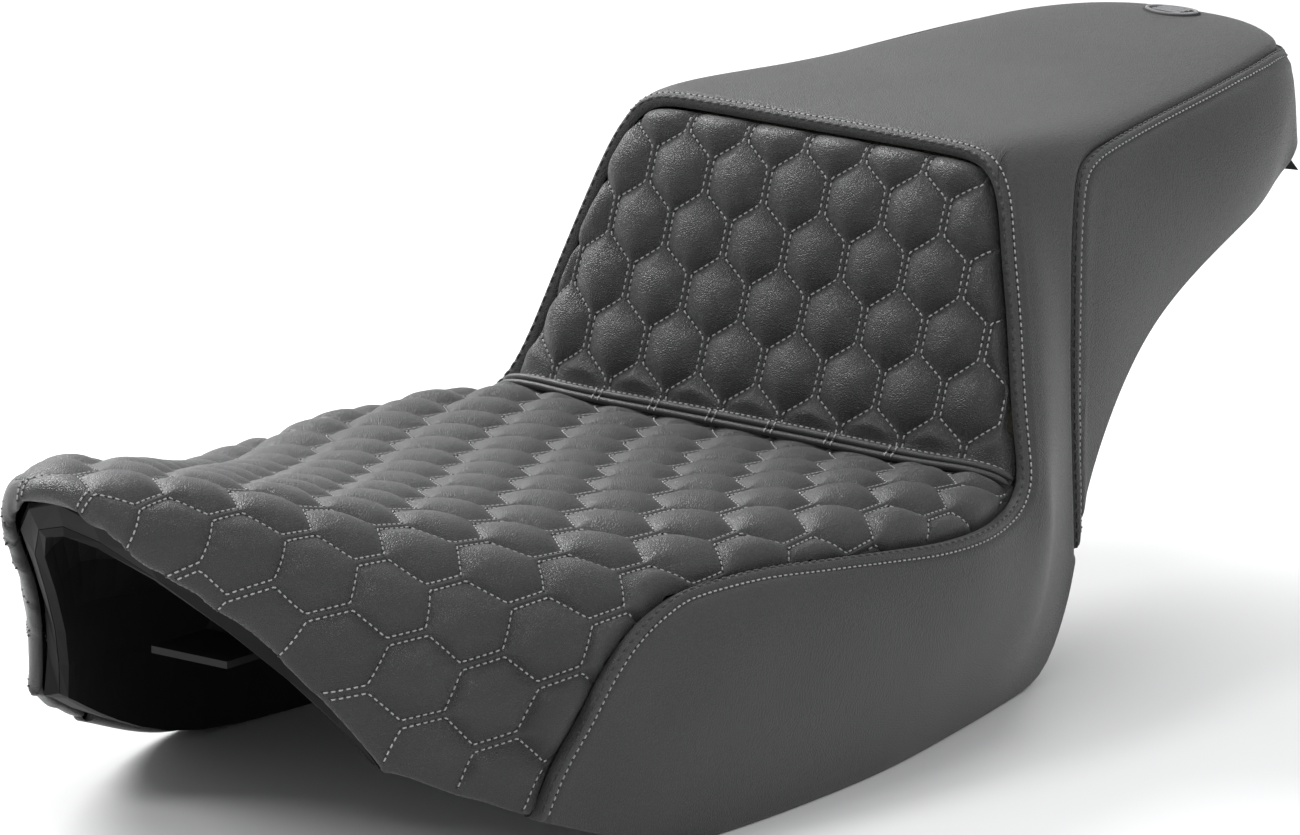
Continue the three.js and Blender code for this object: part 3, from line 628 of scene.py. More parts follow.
def sewn_panel(name, across, row, row_size, finder, height, outline, seam_lines, fill,
               flat_lines=()):
    """One quilted panel: its grid laid on the saddle, puffed, sunk at its seams, swollen."""
    rib, column, past_rib, past_column = finder(across, row)
    past = np.hypot(past_rib, past_column)
    shorter = np.minimum(1, HEM_REACH / np.maximum(past, 1e-9))
    past_rib, past_column, past = past_rib * shorter, past_column * shorter, past * shorter
    place, normal = hemmed(rib, column, past_rib, past_column)
    inside = inside_outline(rib, column, outline)
    to_seam = np.min([distance_to_line(place, line) for line in seam_lines], axis=0)
    distance = thread_distance(across, row, row_size)
    for line in flat_lines:
        distance = np.minimum(distance, distance_to_line(place, line))
    rise = puffed(np.minimum(distance, np.where(inside, to_seam * SEAM_PUFF, 0)), height(place))
    near_edge = smooth_step(distance_to_line(place, lower_edge_line), *LOWER_FADE)
    near_edge *= smooth_step(distance_to_line(place, nose_edge_line), *NOSE_FADE)
    near_edge = np.where(past > 0, 0, near_edge)
    rise = (rise - VALLEY) * near_edge - PANEL_DROP
    place = place + normal * rise[..., None]
    place = place - normal * sunk_at_seam(to_seam, inside)[..., None]
    within = inside | (to_seam < UNDERLAP)
    faces = grid_faces(*across.shape, within)
    faces = faces[(past.reshape(-1)[faces] < HEM_REACH - 1e-6).any(1)]
    piece = new_piece(name, place, faces)
    used = np.unique(faces)
    held = (distance < HELD_BY_THREAD) | ~inside | (to_seam < HELD_BY_SEAM) | (past > 0)
    swollen(piece, held.ravel()[used], near_edge.ravel()[used], *fill)
    rounder(piece)
    return piece


driver_outline = np.concatenate([
    [(-MARGIN, 0), (-MARGIN, LAST_COLUMN + MARGIN), (QUILT_SEAM[0][0], LAST_COLUMN + MARGIN)],
    quilt_seam_line[quilt_seam_line[:, 0] < WELT_END[0]], welt_line,
    [(WELT_RIB, -MARGIN), (-MARGIN, -MARGIN)]])
SIDE_SEAM_END = 9.9  # both panels' own part of the seam reaches a little past the fold
side_seam = quilt_seam_line[quilt_seam_line[:, 0] <= SIDE_SEAM_END]
SEAT_PUFF = 4.5 * MM
SKIRT_PUFF = 5.8 * MM
SEAT_LAST_ROW = 18.6


def seat_puff(place):
    """The puffs are higher on the skirts than on the seat."""
    skirt = smooth_step(np.abs(place[..., 0]), 85 * MM, 125 * MM)
    return SEAT_PUFF + (SKIRT_PUFF - SEAT_PUFF) * skirt


seat_across, seat_rows = quilt_layout(13, quilt_rows(-0.5, SEAT_LAST_ROW))
driver_quilt = sewn_panel(
    "driver_quilt", seat_across, seat_rows, ROW_SEAT, on_seat, seat_puff,
    driver_outline, [side_seam, welt_line], (5.0, 0.02))


def group_sockets(group, inputs, outputs):
    for name, kind, value in inputs:
        socket = group.interface.new_socket(name, in_out="INPUT", socket_type=kind)
        socket.default_value = value
    for name, kind in outputs:
        group.interface.new_socket(name, in_out="OUTPUT", socket_type=kind)


def place_in(tree):
    return tree.nodes.new("ShaderNodeTexCoord").outputs["Object"]


def grain_group():
    """Pebble grain of embossed vinyl: cells with creases between them, and fine pores."""
    tree = bpy.data.node_groups.new("vinyl_grain", "ShaderNodeTree")
    group_sockets(tree, [
        ("Cell Size", "NodeSocketFloat", 1.1), ("Crease", "NodeSocketFloat", 1.0),
        ("Pores", "NodeSocketFloat", 0.35), ("Wrinkles", "NodeSocketFloat", 0.5),
    ], [("Height", "NodeSocketFloat"), ("Tone", "NodeSocketFloat")])
    given = tree.nodes.new("NodeGroupInput")
    out = tree.nodes.new("NodeGroupOutput")
    place = place_in(tree)
    scale = linked(tree, "ShaderNodeMath", {
        0: 1000.0, 1: given.outputs["Cell Size"]}, operation="DIVIDE")
    bend = linked(tree, "ShaderNodeTexNoise", {"Vector": place, "Scale": 260.0, "Detail": 2.0})
    bent = linked(tree, "ShaderNodeVectorMath", {0: bend.outputs["Color"], 1: (0.0012,) * 3},
                  operation="MULTIPLY_ADD")
    tree.links.new(place, bent.inputs[2])
    cells = linked(tree, "ShaderNodeTexVoronoi", {
        "Vector": bent.outputs["Vector"], "Scale": scale.outputs[0]}, feature="DISTANCE_TO_EDGE")
    round_cells = linked(tree, "ShaderNodeMapRange", {
        "Value": cells.outputs["Distance"], "From Max": 0.28}, interpolation_type="SMOOTHSTEP")
    pores = linked(tree, "ShaderNodeTexNoise", {"Vector": place, "Scale": 2600.0, "Detail": 2.0})
    wrinkle = linked(tree, "ShaderNodeTexNoise", {
        "Vector": place, "Scale": 95.0, "Detail": 4.0, "Distortion": 0.8})
    part_cells = linked(tree, "ShaderNodeMath", {
        0: round_cells.outputs["Result"], 1: given.outputs["Crease"]}, operation="MULTIPLY")
    part_pores = linked(tree, "ShaderNodeMath", {
        0: pores.outputs["Fac"], 1: given.outputs["Pores"], 2: part_cells.outputs[0]},
        operation="MULTIPLY_ADD")
    height = linked(tree, "ShaderNodeMath", {
        0: wrinkle.outputs["Fac"], 1: given.outputs["Wrinkles"], 2: part_pores.outputs[0]},
        operation="MULTIPLY_ADD")
    cloud = linked(tree, "ShaderNodeTexNoise", {"Vector": place, "Scale": 14.0, "Detail": 3.0})
    tone = linked(tree, "ShaderNodeMath", {
        0: round_cells.outputs["Result"], 1: 0.25, 2: cloud.outputs["Fac"]},
        operation="MULTIPLY_ADD")
    tree.links.new(height.outputs[0], out.inputs["Height"])
    tree.links.new(tone.outputs[0], out.inputs["Tone"])
    return tree


VINYL_GRAIN = grain_group()


def rub_and_crease_shade_group():
    """Where hands, boots and cloth rub, raised shapes are lighter; folds get painted shade."""
    tree = bpy.data.node_groups.new("rub_wear_and_crease_shade", "ShaderNodeTree")
    group_sockets(tree, [("Amount", "NodeSocketFloat", 0.5)], [
        ("Worn", "NodeSocketFloat"), ("Crease Shade", "NodeSocketFloat")])
    given = tree.nodes.new("NodeGroupInput")
    out = tree.nodes.new("NodeGroupOutput")
    bulge = tree.nodes.new("ShaderNodeNewGeometry").outputs["Pointiness"]
    place = place_in(tree)
    patch = linked(tree, "ShaderNodeTexNoise", {"Vector": place, "Scale": 60.0, "Detail": 5.0})
    raised = linked(tree, "ShaderNodeMapRange", {
        "Value": bulge, "From Min": 0.505, "From Max": 0.56})
    folded = linked(tree, "ShaderNodeMapRange", {
        "Value": bulge, "From Min": 0.495, "From Max": 0.43})
    worn = linked(tree, "ShaderNodeMath", {
        0: raised.outputs["Result"], 1: patch.outputs["Fac"]}, operation="MULTIPLY")
    worn_part = linked(tree, "ShaderNodeMath", {
        0: worn.outputs[0], 1: given.outputs["Amount"]}, operation="MULTIPLY")
    # Painted shade: the folds and creases are darkened.
    painted_crease_shade = linked(tree, "ShaderNodeMath", {
        0: folded.outputs["Result"], 1: given.outputs["Amount"]}, operation="MULTIPLY")
    tree.links.new(worn_part.outputs[0], out.inputs["Worn"])
    tree.links.new(painted_crease_shade.outputs[0], out.inputs["Crease Shade"])
    return tree


RUB_AND_CREASE_SHADE = rub_and_crease_shade_group()


def mixed_colour(tree, share, first, second):
    mix = tree.nodes.new("ShaderNodeMix")
    mix.data_type = "RGBA"
    for socket, value in (("Factor", share), ("A", first), ("B", second)):
        target = [s for s in mix.inputs if s.name == socket and s.enabled][0]
        if hasattr(value, "is_output"):
            tree.links.new(value, target)
        else:
            target.default_value = value
    return [s for s in mix.outputs if s.enabled][0]


def relief_of(tree, shader, height, strength, distance):
    """Fine relief on a surface, from a height."""
    relief = linked(tree, "ShaderNodeBump", {
        "Height": height, "Strength": strength, "Distance": distance})
    tree.links.new(relief.outputs["Normal"], shader.inputs["Normal"])


def times(colour, factor):
    return [min(1, factor * part) for part in colour[:3]] + [1]


def vinyl(name, dark, light, roughness, cell, crease, wrinkles, wear_and_shade_amount, bump):
    """Black upholstery vinyl with embossed grain and a soft, slightly oily sheen."""
    material, tree, shader = new_material(name)
    grain = linked(tree, "ShaderNodeGroup", node_tree=VINYL_GRAIN)
    grain.inputs["Cell Size"].default_value = cell
    grain.inputs["Crease"].default_value = crease
    grain.inputs["Wrinkles"].default_value = wrinkles
    worn_and_shaded = linked(tree, "ShaderNodeGroup", node_tree=RUB_AND_CREASE_SHADE)
    worn_and_shaded.inputs["Amount"].default_value = wear_and_shade_amount
    spread = linked(tree, "ShaderNodeMapRange", {
        "Value": grain.outputs["Tone"], "From Min": 0.3, "From Max": 0.9})
    colour = mixed_colour(tree, spread.outputs["Result"], dark, light)
    colour = mixed_colour(tree, worn_and_shaded.outputs["Worn"], colour, times(light, 2.1))
    # Folds take a darker colour here: painted shade in the creases and stitch valleys.
    colour = mixed_colour(tree, worn_and_shaded.outputs["Crease Shade"], colour, times(dark, 0.45))
    tree.links.new(colour, shader.inputs["Base Color"])
    dull = linked(tree, "ShaderNodeMapRange", {
        "Value": grain.outputs["Tone"], "From Min": 0.2, "From Max": 1.0,
        "To Min": roughness + 0.05, "To Max": roughness - 0.05})
    tree.links.new(dull.outputs["Result"], shader.inputs["Roughness"])
    relief_of(tree, shader, grain.outputs["Height"], bump, 0.4 * MM)
    shader.inputs["Specular IOR Level"].default_value = 0.42
    shader.inputs["Sheen Weight"].default_value = 0.12
    shader.inputs["Sheen Roughness"].default_value = 0.45
    return material


QUILT_DARK = (0.017, 0.017, 0.0175, 1)
QUILT_LIGHT = (0.027, 0.027, 0.0275, 1)
quilted_vinyl = vinyl("quilted_vinyl", QUILT_DARK, QUILT_LIGHT, 0.38, 1.0, 0.8, 1.8, 0.5, 0.6)
driver_quilt.data.materials.append(quilted_vinyl)
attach(driver_quilt, "root")
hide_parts("driver_quilt_panel", "driver_quilt_padding")


# ---------------------------------------------------------------- backrest's quilted panel
# The same vinyl and quilting stands up the riser behind the driver. Its padding is
# thicker, so the hexagons are plump, and the threads carry on from the seat's.

ROW_BACKREST = 25.2 * MM
BACKREST_RANGE = (9.6, 14.7)  # ribs that the panel and its underlaps lie between
backrest_ribs = np.linspace(*BACKREST_RANGE, 400)
backrest_rise = length_so_far(cover_point(backrest_ribs, 0))
backrest_rise -= np.interp(WELT_RIB, backrest_ribs, backrest_rise)
backrest_rungs = np.linspace(*BACKREST_RANGE, 90)
backrest_columns = np.linspace(0, 4.2, 120)
backrest_reach = length_so_far(cover_point(backrest_rungs[:, None], backrest_columns[None, :]))


def on_backrest(across, row):
    """Rib and column numbers, and distances past the edge, of places in the backrest's
    quilting. Rows count up from the welt."""
    shape = np.shape(across)
    across = np.ravel(across)
    rib = np.interp(np.ravel(row) * ROW_BACKREST, backrest_rise, backrest_ribs)
    k = np.interp(rib, backrest_rungs, np.arange(len(backrest_rungs)))
    k0 = np.minimum(k.astype(int), len(backrest_rungs) - 2)
    share = (k - k0)[:, None]
    table = backrest_reach[k0] * (1 - share) + backrest_reach[k0 + 1] * share
    wanted = np.abs(across) * HEX_WIDTH_FOLD
    column = np.array([np.interp(w, line, backrest_columns) for w, line in zip(wanted, table)])
    column = column * np.where(across < 0, -1, 1)
    nothing = np.zeros(shape)
    return [rib.reshape(shape), column.reshape(shape), nothing, nothing]


TOP_SEAM_START = 9.5
top_seam = quilt_seam_line[quilt_seam_line[:, 0] >= TOP_SEAM_START]
backrest_outline = np.concatenate([
    quilt_seam_line[quilt_seam_line[:, 0] >= WELT_END[0]],
    [(TOP_SEAM_RIB, -MARGIN), (WELT_RIB, -MARGIN)], welt_line[::-1]])
upper_welt_row = welt_line + (0.34, 0)  # a row of thread just above the welt
BACKREST_PUFF = 6.2 * MM
BACKREST_LAST_ROW = 5.7


def backrest_puff(place):
    return np.full(place.shape[:-1], BACKREST_PUFF)


back_across, back_rows = quilt_layout(9, quilt_rows(-0.5, BACKREST_LAST_ROW))
backrest_quilt = sewn_panel(
    "backrest_quilt", back_across, back_rows, ROW_BACKREST, on_backrest, backrest_puff,
    backrest_outline, [top_seam, welt_line], (9.0, 0.03), [upper_welt_row])
backrest_quilt.data.materials.append(quilted_vinyl)
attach(backrest_quilt, "root")
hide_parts("backrest_quilt_panel", "backrest_quilt_padding")


# ---------------------------------------------------------------- smooth main cover
# One piece of grained vinyl laminated to thin foam wraps both sides, frames the backrest
# and runs over the passenger's seat. Its edges are folded over the seams and top-stitched,
# and its lower edge is turned under the base.

BAND_SEAM = [
    (14.32, 6), (14.28, 5.2), (14.42, 4.74), (14.8, 4.34), (15.3, 3.85), (15.75, 3.42),
    (16.1, 3.2), (16.5, 3.05), (17.4, 2.78), (18.4, 2.62), (19.5, 2.56), (20.3, 2.35),
    (20.75, 1.7), (20.9, 0.9), (20.92, 0),
]
band_seam_line = seam_curve(BAND_SEAM)


def along_line(line, share):
    """Rib and column numbers at shares of the length of a line on the surface."""
    lengths = length_so_far(cover_point(line[:, 0], line[:, 1]))
    wanted = np.asarray(share) * lengths[-1]
    return np.stack([np.interp(wanted, lengths, line[:, k]) for k in (0, 1)], -1)


FOLD_WIDTH = 2.6 * MM
FOLD_DEPTH = 4.0 * MM
TUCK_WIDTH = 4.5 * MM
TUCK_DEPTH = 3.2 * MM
TOPSTITCH = 5.6 * MM  # from the seam to the row of thread beside it
# Swells and grooves beside a folded edge: height, distance from the seam, half width.
FOLD_SHAPE = [
    (1.0 * MM, FOLD_WIDTH * 1.15, 2.0 * MM),
    (-0.9 * MM, TOPSTITCH, 0.9 * MM),
    (0.5 * MM, TOPSTITCH + 3 * MM, 2.4 * MM),
]


def rolled_in(distance, width, depth):
    """Height of an edge that rolls down in a round over a width."""
    share = np.clip(distance / width, 0, 1)
    return (np.sqrt(1 - (1 - share) ** 2) - 1) * depth


def folded_edge(distance):
    """Height of a folded and top-stitched edge over the surface, by distance from its seam."""
    rise = rolled_in(distance, FOLD_WIDTH, FOLD_DEPTH)
    for height, middle, width in FOLD_SHAPE:
        rise = rise + height * np.exp(-((distance - middle) / width) ** 2)
    return rise


EDGE_STEPS = np.array([
    0, 0.25, 0.6, 1.1, 1.8, 2.6, 3.5, 4.4, 5.0, 5.6, 6.2, 7.2, 9, 12, 17, 24]) * MM
EDGE_SHARE = 0.42  # the close steps at each end take up no more than this of a row
MIDDLE_STEPS = 22


def between(first, second):
    """Rows of rib and column numbers from one line to another, close together at both.
    first and second hold the matching ends of each row."""
    fine = np.linspace(0, 1, 60)
    rows = []
    for start, end in zip(first, second):
        path = start + (end - start) * fine[:, None]
        lengths = length_so_far(cover_point(path[:, 0], path[:, 1]))
        total = max(lengths[-1], 1e-6)
        room = min(1, EDGE_SHARE * total / EDGE_STEPS[-1])
        low = EDGE_STEPS * room
        high = total - EDGE_STEPS[::-1] * room
        middle = np.linspace(low[-1], high[0], MIDDLE_STEPS + 2)[1:-1]
        wanted = np.concatenate([low, middle, high])
        rows.append(np.stack([np.interp(wanted, lengths, path[:, k]) for k in (0, 1)], -1))
    return np.array(rows)


ALONG_QUILT = np.array([0, 0.33, 0.47, 0.56, 0.70, 0.80, 0.90, 1])
ALONG_BAND = np.array([0, 0.10, 0.20, 0.33, 0.60, 0.74, 0.88, 1])
COVER_ROWS = 190
shares = np.linspace(0, 1, COVER_ROWS)
quilt_side = along_line(quilt_seam_line, shares)
band_side = along_line(band_seam_line, np.interp(shares, ALONG_QUILT, ALONG_BAND))
half_cover = between(quilt_side, band_side)

HEM_STEPS = 6
EVENING = 9  # edge points averaged together, so that the hem turns corners evenly


def evened(vectors):
    half = EVENING // 2
    padded = np.concatenate([vectors[:1]] * half + [vectors] + [vectors[-1:]] * half)
    return unit(sum(padded[k:k + len(vectors)] for k in range(EVENING)))


def with_hem(places, normals):
    """Adds rows in front of row 0 of a grid, which turn it under round a hem and back."""
    out = evened(unit(places[0] - places[2]))
    level = evened(normals[0])
    rolled = []
    for step in range(1, HEM_STEPS + 2):
        turn = min(step / HEM_STEPS, 1) * math.pi
        inward = max(step - HEM_STEPS, 0) * HEM_RETURN
        rolled.append(places[0] + out * (HEM_RADIUS * math.sin(turn) - inward)
                      - level * HEM_RADIUS * (1 - math.cos(turn)))
    sheet = np.concatenate([np.array(rolled[::-1]), places])
    sheet[..., 2] = np.maximum(sheet[..., 2], 0)
    return sheet


SAME_PLACE = 0.02 * MM


def mirrored_sheet(name, place, line_axis):
    """A sheet from the grid of its left half, which meets the right half on the centre
    line, in the last line of the grid along line_axis."""
    right = np.flip(place, line_axis).take(range(1, place.shape[line_axis]), line_axis)
    whole = np.concatenate([place, right * np.array([-1, 1, 1])], line_axis)
    piece = new_piece(name, whole, grid_faces(*whole.shape[:2]))
    bm = bmesh.new()
    bm.from_mesh(piece.data)
    bmesh.ops.remove_doubles(bm, verts=bm.verts, dist=SAME_PLACE)
    bmesh.ops.recalc_face_normals(bm, faces=bm.faces)
    bm.to_mesh(piece.data)
    bm.free()
    rounder(piece)
    return piece


cover_place = cover_point(half_cover[..., 0], half_cover[..., 1])
cover_normal = cover_slopes(half_cover[..., 0], half_cover[..., 1])[2]
cover_rise = folded_edge(distance_to_line(cover_place, quilt_seam_line))
cover_rise += rolled_in(distance_to_line(cover_place, band_seam_line), TUCK_WIDTH, TUCK_DEPTH)
main_cover = mirrored_sheet("main_cover_sheet", with_hem(
    cover_place + cover_normal * cover_rise[..., None], cover_normal), 0)
SMOOTH_DARK = (0.026, 0.026, 0.0265, 1)
SMOOTH_LIGHT = (0.036, 0.036, 0.0365, 1)
smooth_vinyl = vinyl("smooth_vinyl", SMOOTH_DARK, SMOOTH_LIGHT, 0.50, 1.2, 1.0, 0.5, 0.35, 0.5)
main_cover.data.materials.append(smooth_vinyl)
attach(main_cover, "root")
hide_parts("main_cover")


# ---------------------------------------------------------------- passenger side band
# A strip of the same vinyl hangs from the seam round the passenger's seat and closes
# its sides and tail. It is turned under the base like the main cover.

outer_edge = np.array(
    [(u, LAST_COLUMN) for u in np.linspace(14.34, LAST_RIB, 60)]
    + [(LAST_RIB, v) for v in np.linspace(5.9, 0, 60)])
# Where the band's seam and its outer edge belong together, as shares of their lengths.
BAND_MATCH = np.array([0, 0.12, 0.3, 0.6, 0.8, 1])
EDGE_MATCH = np.array([0, 0.08, 0.3, 0.62, 0.8, 1])
band_top = along_line(band_seam_line, shares)
band_foot = along_line(outer_edge, np.interp(shares, BAND_MATCH, EDGE_MATCH))
BAND_SINK = 0.6 * MM
BAND_SINK_WIDTH = 4 * MM
# The band's grid runs from the lower edge up to the seam, so that row 0 is hemmed.
half_band = between(band_top, band_foot).transpose(1, 0, 2)[::-1]
band_place = cover_point(half_band[..., 0], half_band[..., 1])
band_normal = cover_slopes(half_band[..., 0], half_band[..., 1])[2]
to_band_seam = distance_to_line(band_place, band_seam_line)
band_rise = folded_edge(to_band_seam) - BAND_SINK * np.exp(-to_band_seam / BAND_SINK_WIDTH)
passenger_band = mirrored_sheet("passenger_band_sheet", with_hem(
    band_place + band_normal * band_rise[..., None], band_normal), 1)
passenger_band.data.materials.append(smooth_vinyl)
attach(passenger_band, "root")
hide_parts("passenger_band")

# ---------------------------------------------------------------- welt in the fold
# Two narrow cords of vinyl lie side by side along the fold between seat and backrest,
# over the seam that joins the two quilted panels.


CORD_SIDES = 12


def round_about(level, beside, sides):
    """Directions all round a line: one ring of them for each place on it."""
    around = np.linspace(0, 2 * math.pi, sides, endpoint=False)[:, None]
    return np.cos(around) * level[:, None] + np.sin(around) * beside[:, None]


def cord(points, normals, radii):
    """Points and faces of a closed round cord along a line."""
    ahead = unit(np.gradient(points, axis=0))
    level = unit(normals - (normals * ahead).sum(1, keepdims=True) * ahead)
    beside = unit(np.cross(level, ahead))
    rings = points[:, None] + radii[:, None, None] * round_about(level, beside, CORD_SIDES)
    faces = []
    for start in range(0, (len(points) - 1) * CORD_SIDES, CORD_SIDES):
        for j in range(CORD_SIDES):
            k = (j + 1) % CORD_SIDES
            faces.append((start + j, start + k, start + CORD_SIDES + k, start + CORD_SIDES + j))
    faces.append(tuple(range(CORD_SIDES))[::-1])
    faces.append(tuple(range((len(points) - 1) * CORD_SIDES, len(points) * CORD_SIDES)))
    return rings.reshape(-1, 3), faces


def joined(parts):
    """Points and faces of several shapes as one."""
    points, faces, start = [], [], 0
    for part_points, part_faces in parts:
        points.append(part_points)
        faces.extend(tuple(corner + start for corner in face) for face in part_faces)
        start += len(part_points)
    return np.concatenate(points), faces


WELT_SINK = 1.6 * MM  # the cords' middles lie this far in, less each one's rise
# shift up the backrest, radius and rise of each cord
WELT_CORDS = [(2.1 * MM, 1.75 * MM, 0.9 * MM), (-1.5 * MM, 1.5 * MM, 0.5 * MM)]
CORD_END = 3.12  # as a column number
CORD_ROUNDING = 0.12
cord_columns = np.linspace(-CORD_END, CORD_END, 150)
cord_ribs = welt_rib(cord_columns)
cord_along, _, cord_normal = cover_slopes(cord_ribs, cord_columns)
cord_left = CORD_END + MARGIN - np.abs(cord_columns)
cord_taper = np.sqrt(np.clip(cord_left / CORD_ROUNDING, 0.05, 1))
cords = []
for shift, radius, rise in WELT_CORDS:
    line = (cover_point(cord_ribs, cord_columns) + cord_along * shift
            + cord_normal * (rise - WELT_SINK))
    cords.append(cord(line, cord_normal, radius * cord_taper))
welt = new_piece("welt_cords", *joined(cords))
welt_vinyl = vinyl("welt_vinyl", (0.014, 0.014, 0.0145, 1), (0.022, 0.022, 0.0225, 1),
                   0.42, 0.9, 0.6, 0.4, 0.3, 0.3)
welt.data.materials.append(welt_vinyl)
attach(welt, "root")
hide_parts("backrest_welt")


# ---------------------------------------------------------------- thread
# Grey bonded thread runs in every seam of the quilting and in the rows of top-stitching
# beside the folded edges. Each stitch is a short bar that dips into the vinyl at a
# needle hole at both ends. The seams themselves are sewn in black.

STITCH_PITCH = 3.1 * MM
STITCH_LENGTH = 2.3 * MM
THREAD_RADIUS = 0.42 * MM
SEARCH = 14 * MM


def surface_finder(piece):
    corners = np.zeros(len(piece.data.vertices) * 3)
    piece.data.vertices.foreach_get("co", corners)
    polygons = [tuple(p.vertices) for p in piece.data.polygons]
    return BVHTree.FromPolygons(corners.reshape(-1, 3).tolist(), polygons)


def laid_on(tree, points, normals):
    """Points moved along their normals onto a piece, and which of them met it."""
    places, found = [], []
    for point, normal in zip(points, normals):
        start = Vector(point + normal * SEARCH)
        hit = tree.ray_cast(start, Vector(-normal), 2 * SEARCH)[0]
        found.append(hit is not None)
        places.append(tuple(hit) if hit is not None else tuple(point))
    return np.array(places), np.array(found)


# place along the stitch, width and lift in mm of each ring of a stitch
STITCH_RINGS = [(-0.5, 0.4, -0.40), (-0.32, 0.95, 0.14), (0.32, 0.95, 0.14), (0.5, 0.4, -0.40)]
STITCH_SIDES = 5


def stitches(centres, ahead, facing, length=STITCH_LENGTH, radius=THREAD_RADIUS):
    """Points and faces of one short arched bar of thread at each centre."""
    beside = unit(np.cross(facing, ahead))
    level = unit(np.cross(ahead, beside))
    rings = []
    for along, width, lift in STITCH_RINGS:
        middle = centres + ahead * along * length + level * lift * MM
        rings.append(middle[:, None] + radius * width * round_about(level, beside, STITCH_SIDES))
    points = np.stack(rings, 1).reshape(-1, 3)
    pattern = []
    for i in range(len(STITCH_RINGS) - 1):
        for j in range(STITCH_SIDES):
            k = (j + 1) % STITCH_SIDES
            low, high = i * STITCH_SIDES, (i + 1) * STITCH_SIDES
            pattern.append((low + j, high + j, high + k, low + k))
    last = len(STITCH_RINGS) * STITCH_SIDES
    pattern += [tuple(range(STITCH_SIDES)), tuple(range(last - 1, last - 1 - STITCH_SIDES, -1))]
    faces = []
    for start in range(0, len(centres) * last, last):
        faces.extend(tuple(corner + start for corner in face) for face in pattern)
    return points, faces


LONGEST = 1.7  # a stitch that would come out longer than this many lengths is left out


def sewn_line(tree, points, normals, pitch=STITCH_PITCH, length=STITCH_LENGTH):
    """Centres, directions and facings of the stitches of one row on a piece."""
    lengths = length_so_far(points)
    at = np.arange(pitch / 2, lengths[-1], pitch)
    if len(at) < 1:
        return None

    def values_at(values, wanted):
        return np.stack([np.interp(wanted, lengths, values[:, k]) for k in range(3)], -1)

    level = unit(values_at(normals, at))
    centre, found = laid_on(tree, values_at(points, at), level)
    first, found_first = laid_on(tree, values_at(points, at - length / 2), level)
    last, found_last = laid_on(tree, values_at(points, at + length / 2), level)
    ahead = unit(last - first)
    short = np.linalg.norm(last - first, axis=1) < LONGEST * length
    kept = found & found_first & found_last & short
    middle = (first + last) / 2
    centre = np.where(((centre - middle) * level).sum(1, keepdims=True) > 0, centre, middle)
    return centre[kept], ahead[kept], level[kept]


ROW_STEP = 0.03
PAST_EDGE = 1.0 * MM  # rows of thread stop this far past the edge


def quilt_thread(tree, finder, half_count, last_row, outline, lines, margin):
    """The rows of thread of one quilted panel."""
    rows = np.arange(-0.5, last_row, ROW_STEP)
    found = []
    for number in range(-half_count, half_count):
        across = thread_row_at(number, rows)
        rib, column, past_rib, past_column = finder(across, rows)
        place, normal = hemmed(rib, column, past_rib, past_column)
        inside = inside_outline(rib, column, outline)
        to_seam = np.min([distance_to_line(place, line) for line in lines], axis=0)
        keep = inside & (to_seam > margin) & (np.hypot(past_rib, past_column) < PAST_EDGE)
        edges = np.nonzero(np.diff(np.concatenate([[0], keep.astype(int), [0]])))[0].reshape(-1, 2)
        for start, end in edges:
            if end - start > 3:
                found.append(sewn_line(tree, place[start:end], normal[start:end]))
    return [row for row in found if row is not None and len(row[0])]


driver_tree = surface_finder(driver_quilt)
backrest_tree = surface_finder(backrest_quilt)
cover_tree = surface_finder(main_cover)
band_tree = surface_finder(passenger_band)
grey_rows = quilt_thread(driver_tree, on_seat, 14, SEAT_LAST_ROW,
                         driver_outline, [side_seam, welt_line], 2.5 * MM)
grey_rows += quilt_thread(backrest_tree, on_backrest, 9, BACKREST_LAST_ROW + 0.1,
                          backrest_outline, [top_seam, welt_line], 3.0 * MM)


def beside_line(line, shift):
    """A row of rib and column numbers moved sideways from a seam by a distance, as places
    and normals. Both halves are given, from the right foot over the centre to the left."""
    rib, column = line[:, 0], line[:, 1]
    place = cover_point(rib, column)
    normal = cover_slopes(rib, column)[2]
    ahead = unit(np.gradient(place, axis=0))
    place = place + unit(np.cross(ahead, normal)) * shift
    flip = np.array([-1, 1, 1])
    return (np.concatenate([place, (place * flip)[::-1][1:]]),
            np.concatenate([normal, (normal * flip)[::-1][1:]]))


BAND_TOPSTITCH = 4.76 * MM
grey_rows.append(sewn_line(cover_tree, *beside_line(quilt_seam_line, TOPSTITCH)))
grey_rows.append(sewn_line(band_tree, *beside_line(band_seam_line, BAND_TOPSTITCH)))
grey_rows.append(sewn_line(backrest_tree, *beside_line(upper_welt_row, 0)))

# The threads of the quilting carry on over the cords of the welt, two at a time.
THREAD_BITE = 0.1 * MM
for half in (0.5, 1.5, 2.5):
    for side in (-1, 1):
        for twin in (-TWIN_HALF, TWIN_HALF):
            x = side * half * HEX_WIDTH_FOLD + twin
            column = np.interp(x, cover_point(cord_ribs, cord_columns)[:, 0], cord_columns)
            rib = welt_rib(column)
            spot = cover_point(rib, column)[None]
            along, _, facing = [part[None] for part in cover_slopes(rib, column)]
            for shift, radius, rise in WELT_CORDS:
                lift = rise - WELT_SINK + radius - THREAD_BITE
                grey_rows.append((spot + along * shift + facing * lift, along, facing))



def together(rows):
    """Centres, directions and facings of all rows of stitches as three lists."""
    return [np.concatenate([row[k] for row in rows]) for k in (0, 1, 2)]


grey_centres, grey_ahead, grey_facing = together(grey_rows)
grey_thread = new_piece("grey_thread", *stitches(grey_centres, grey_ahead, grey_facing))


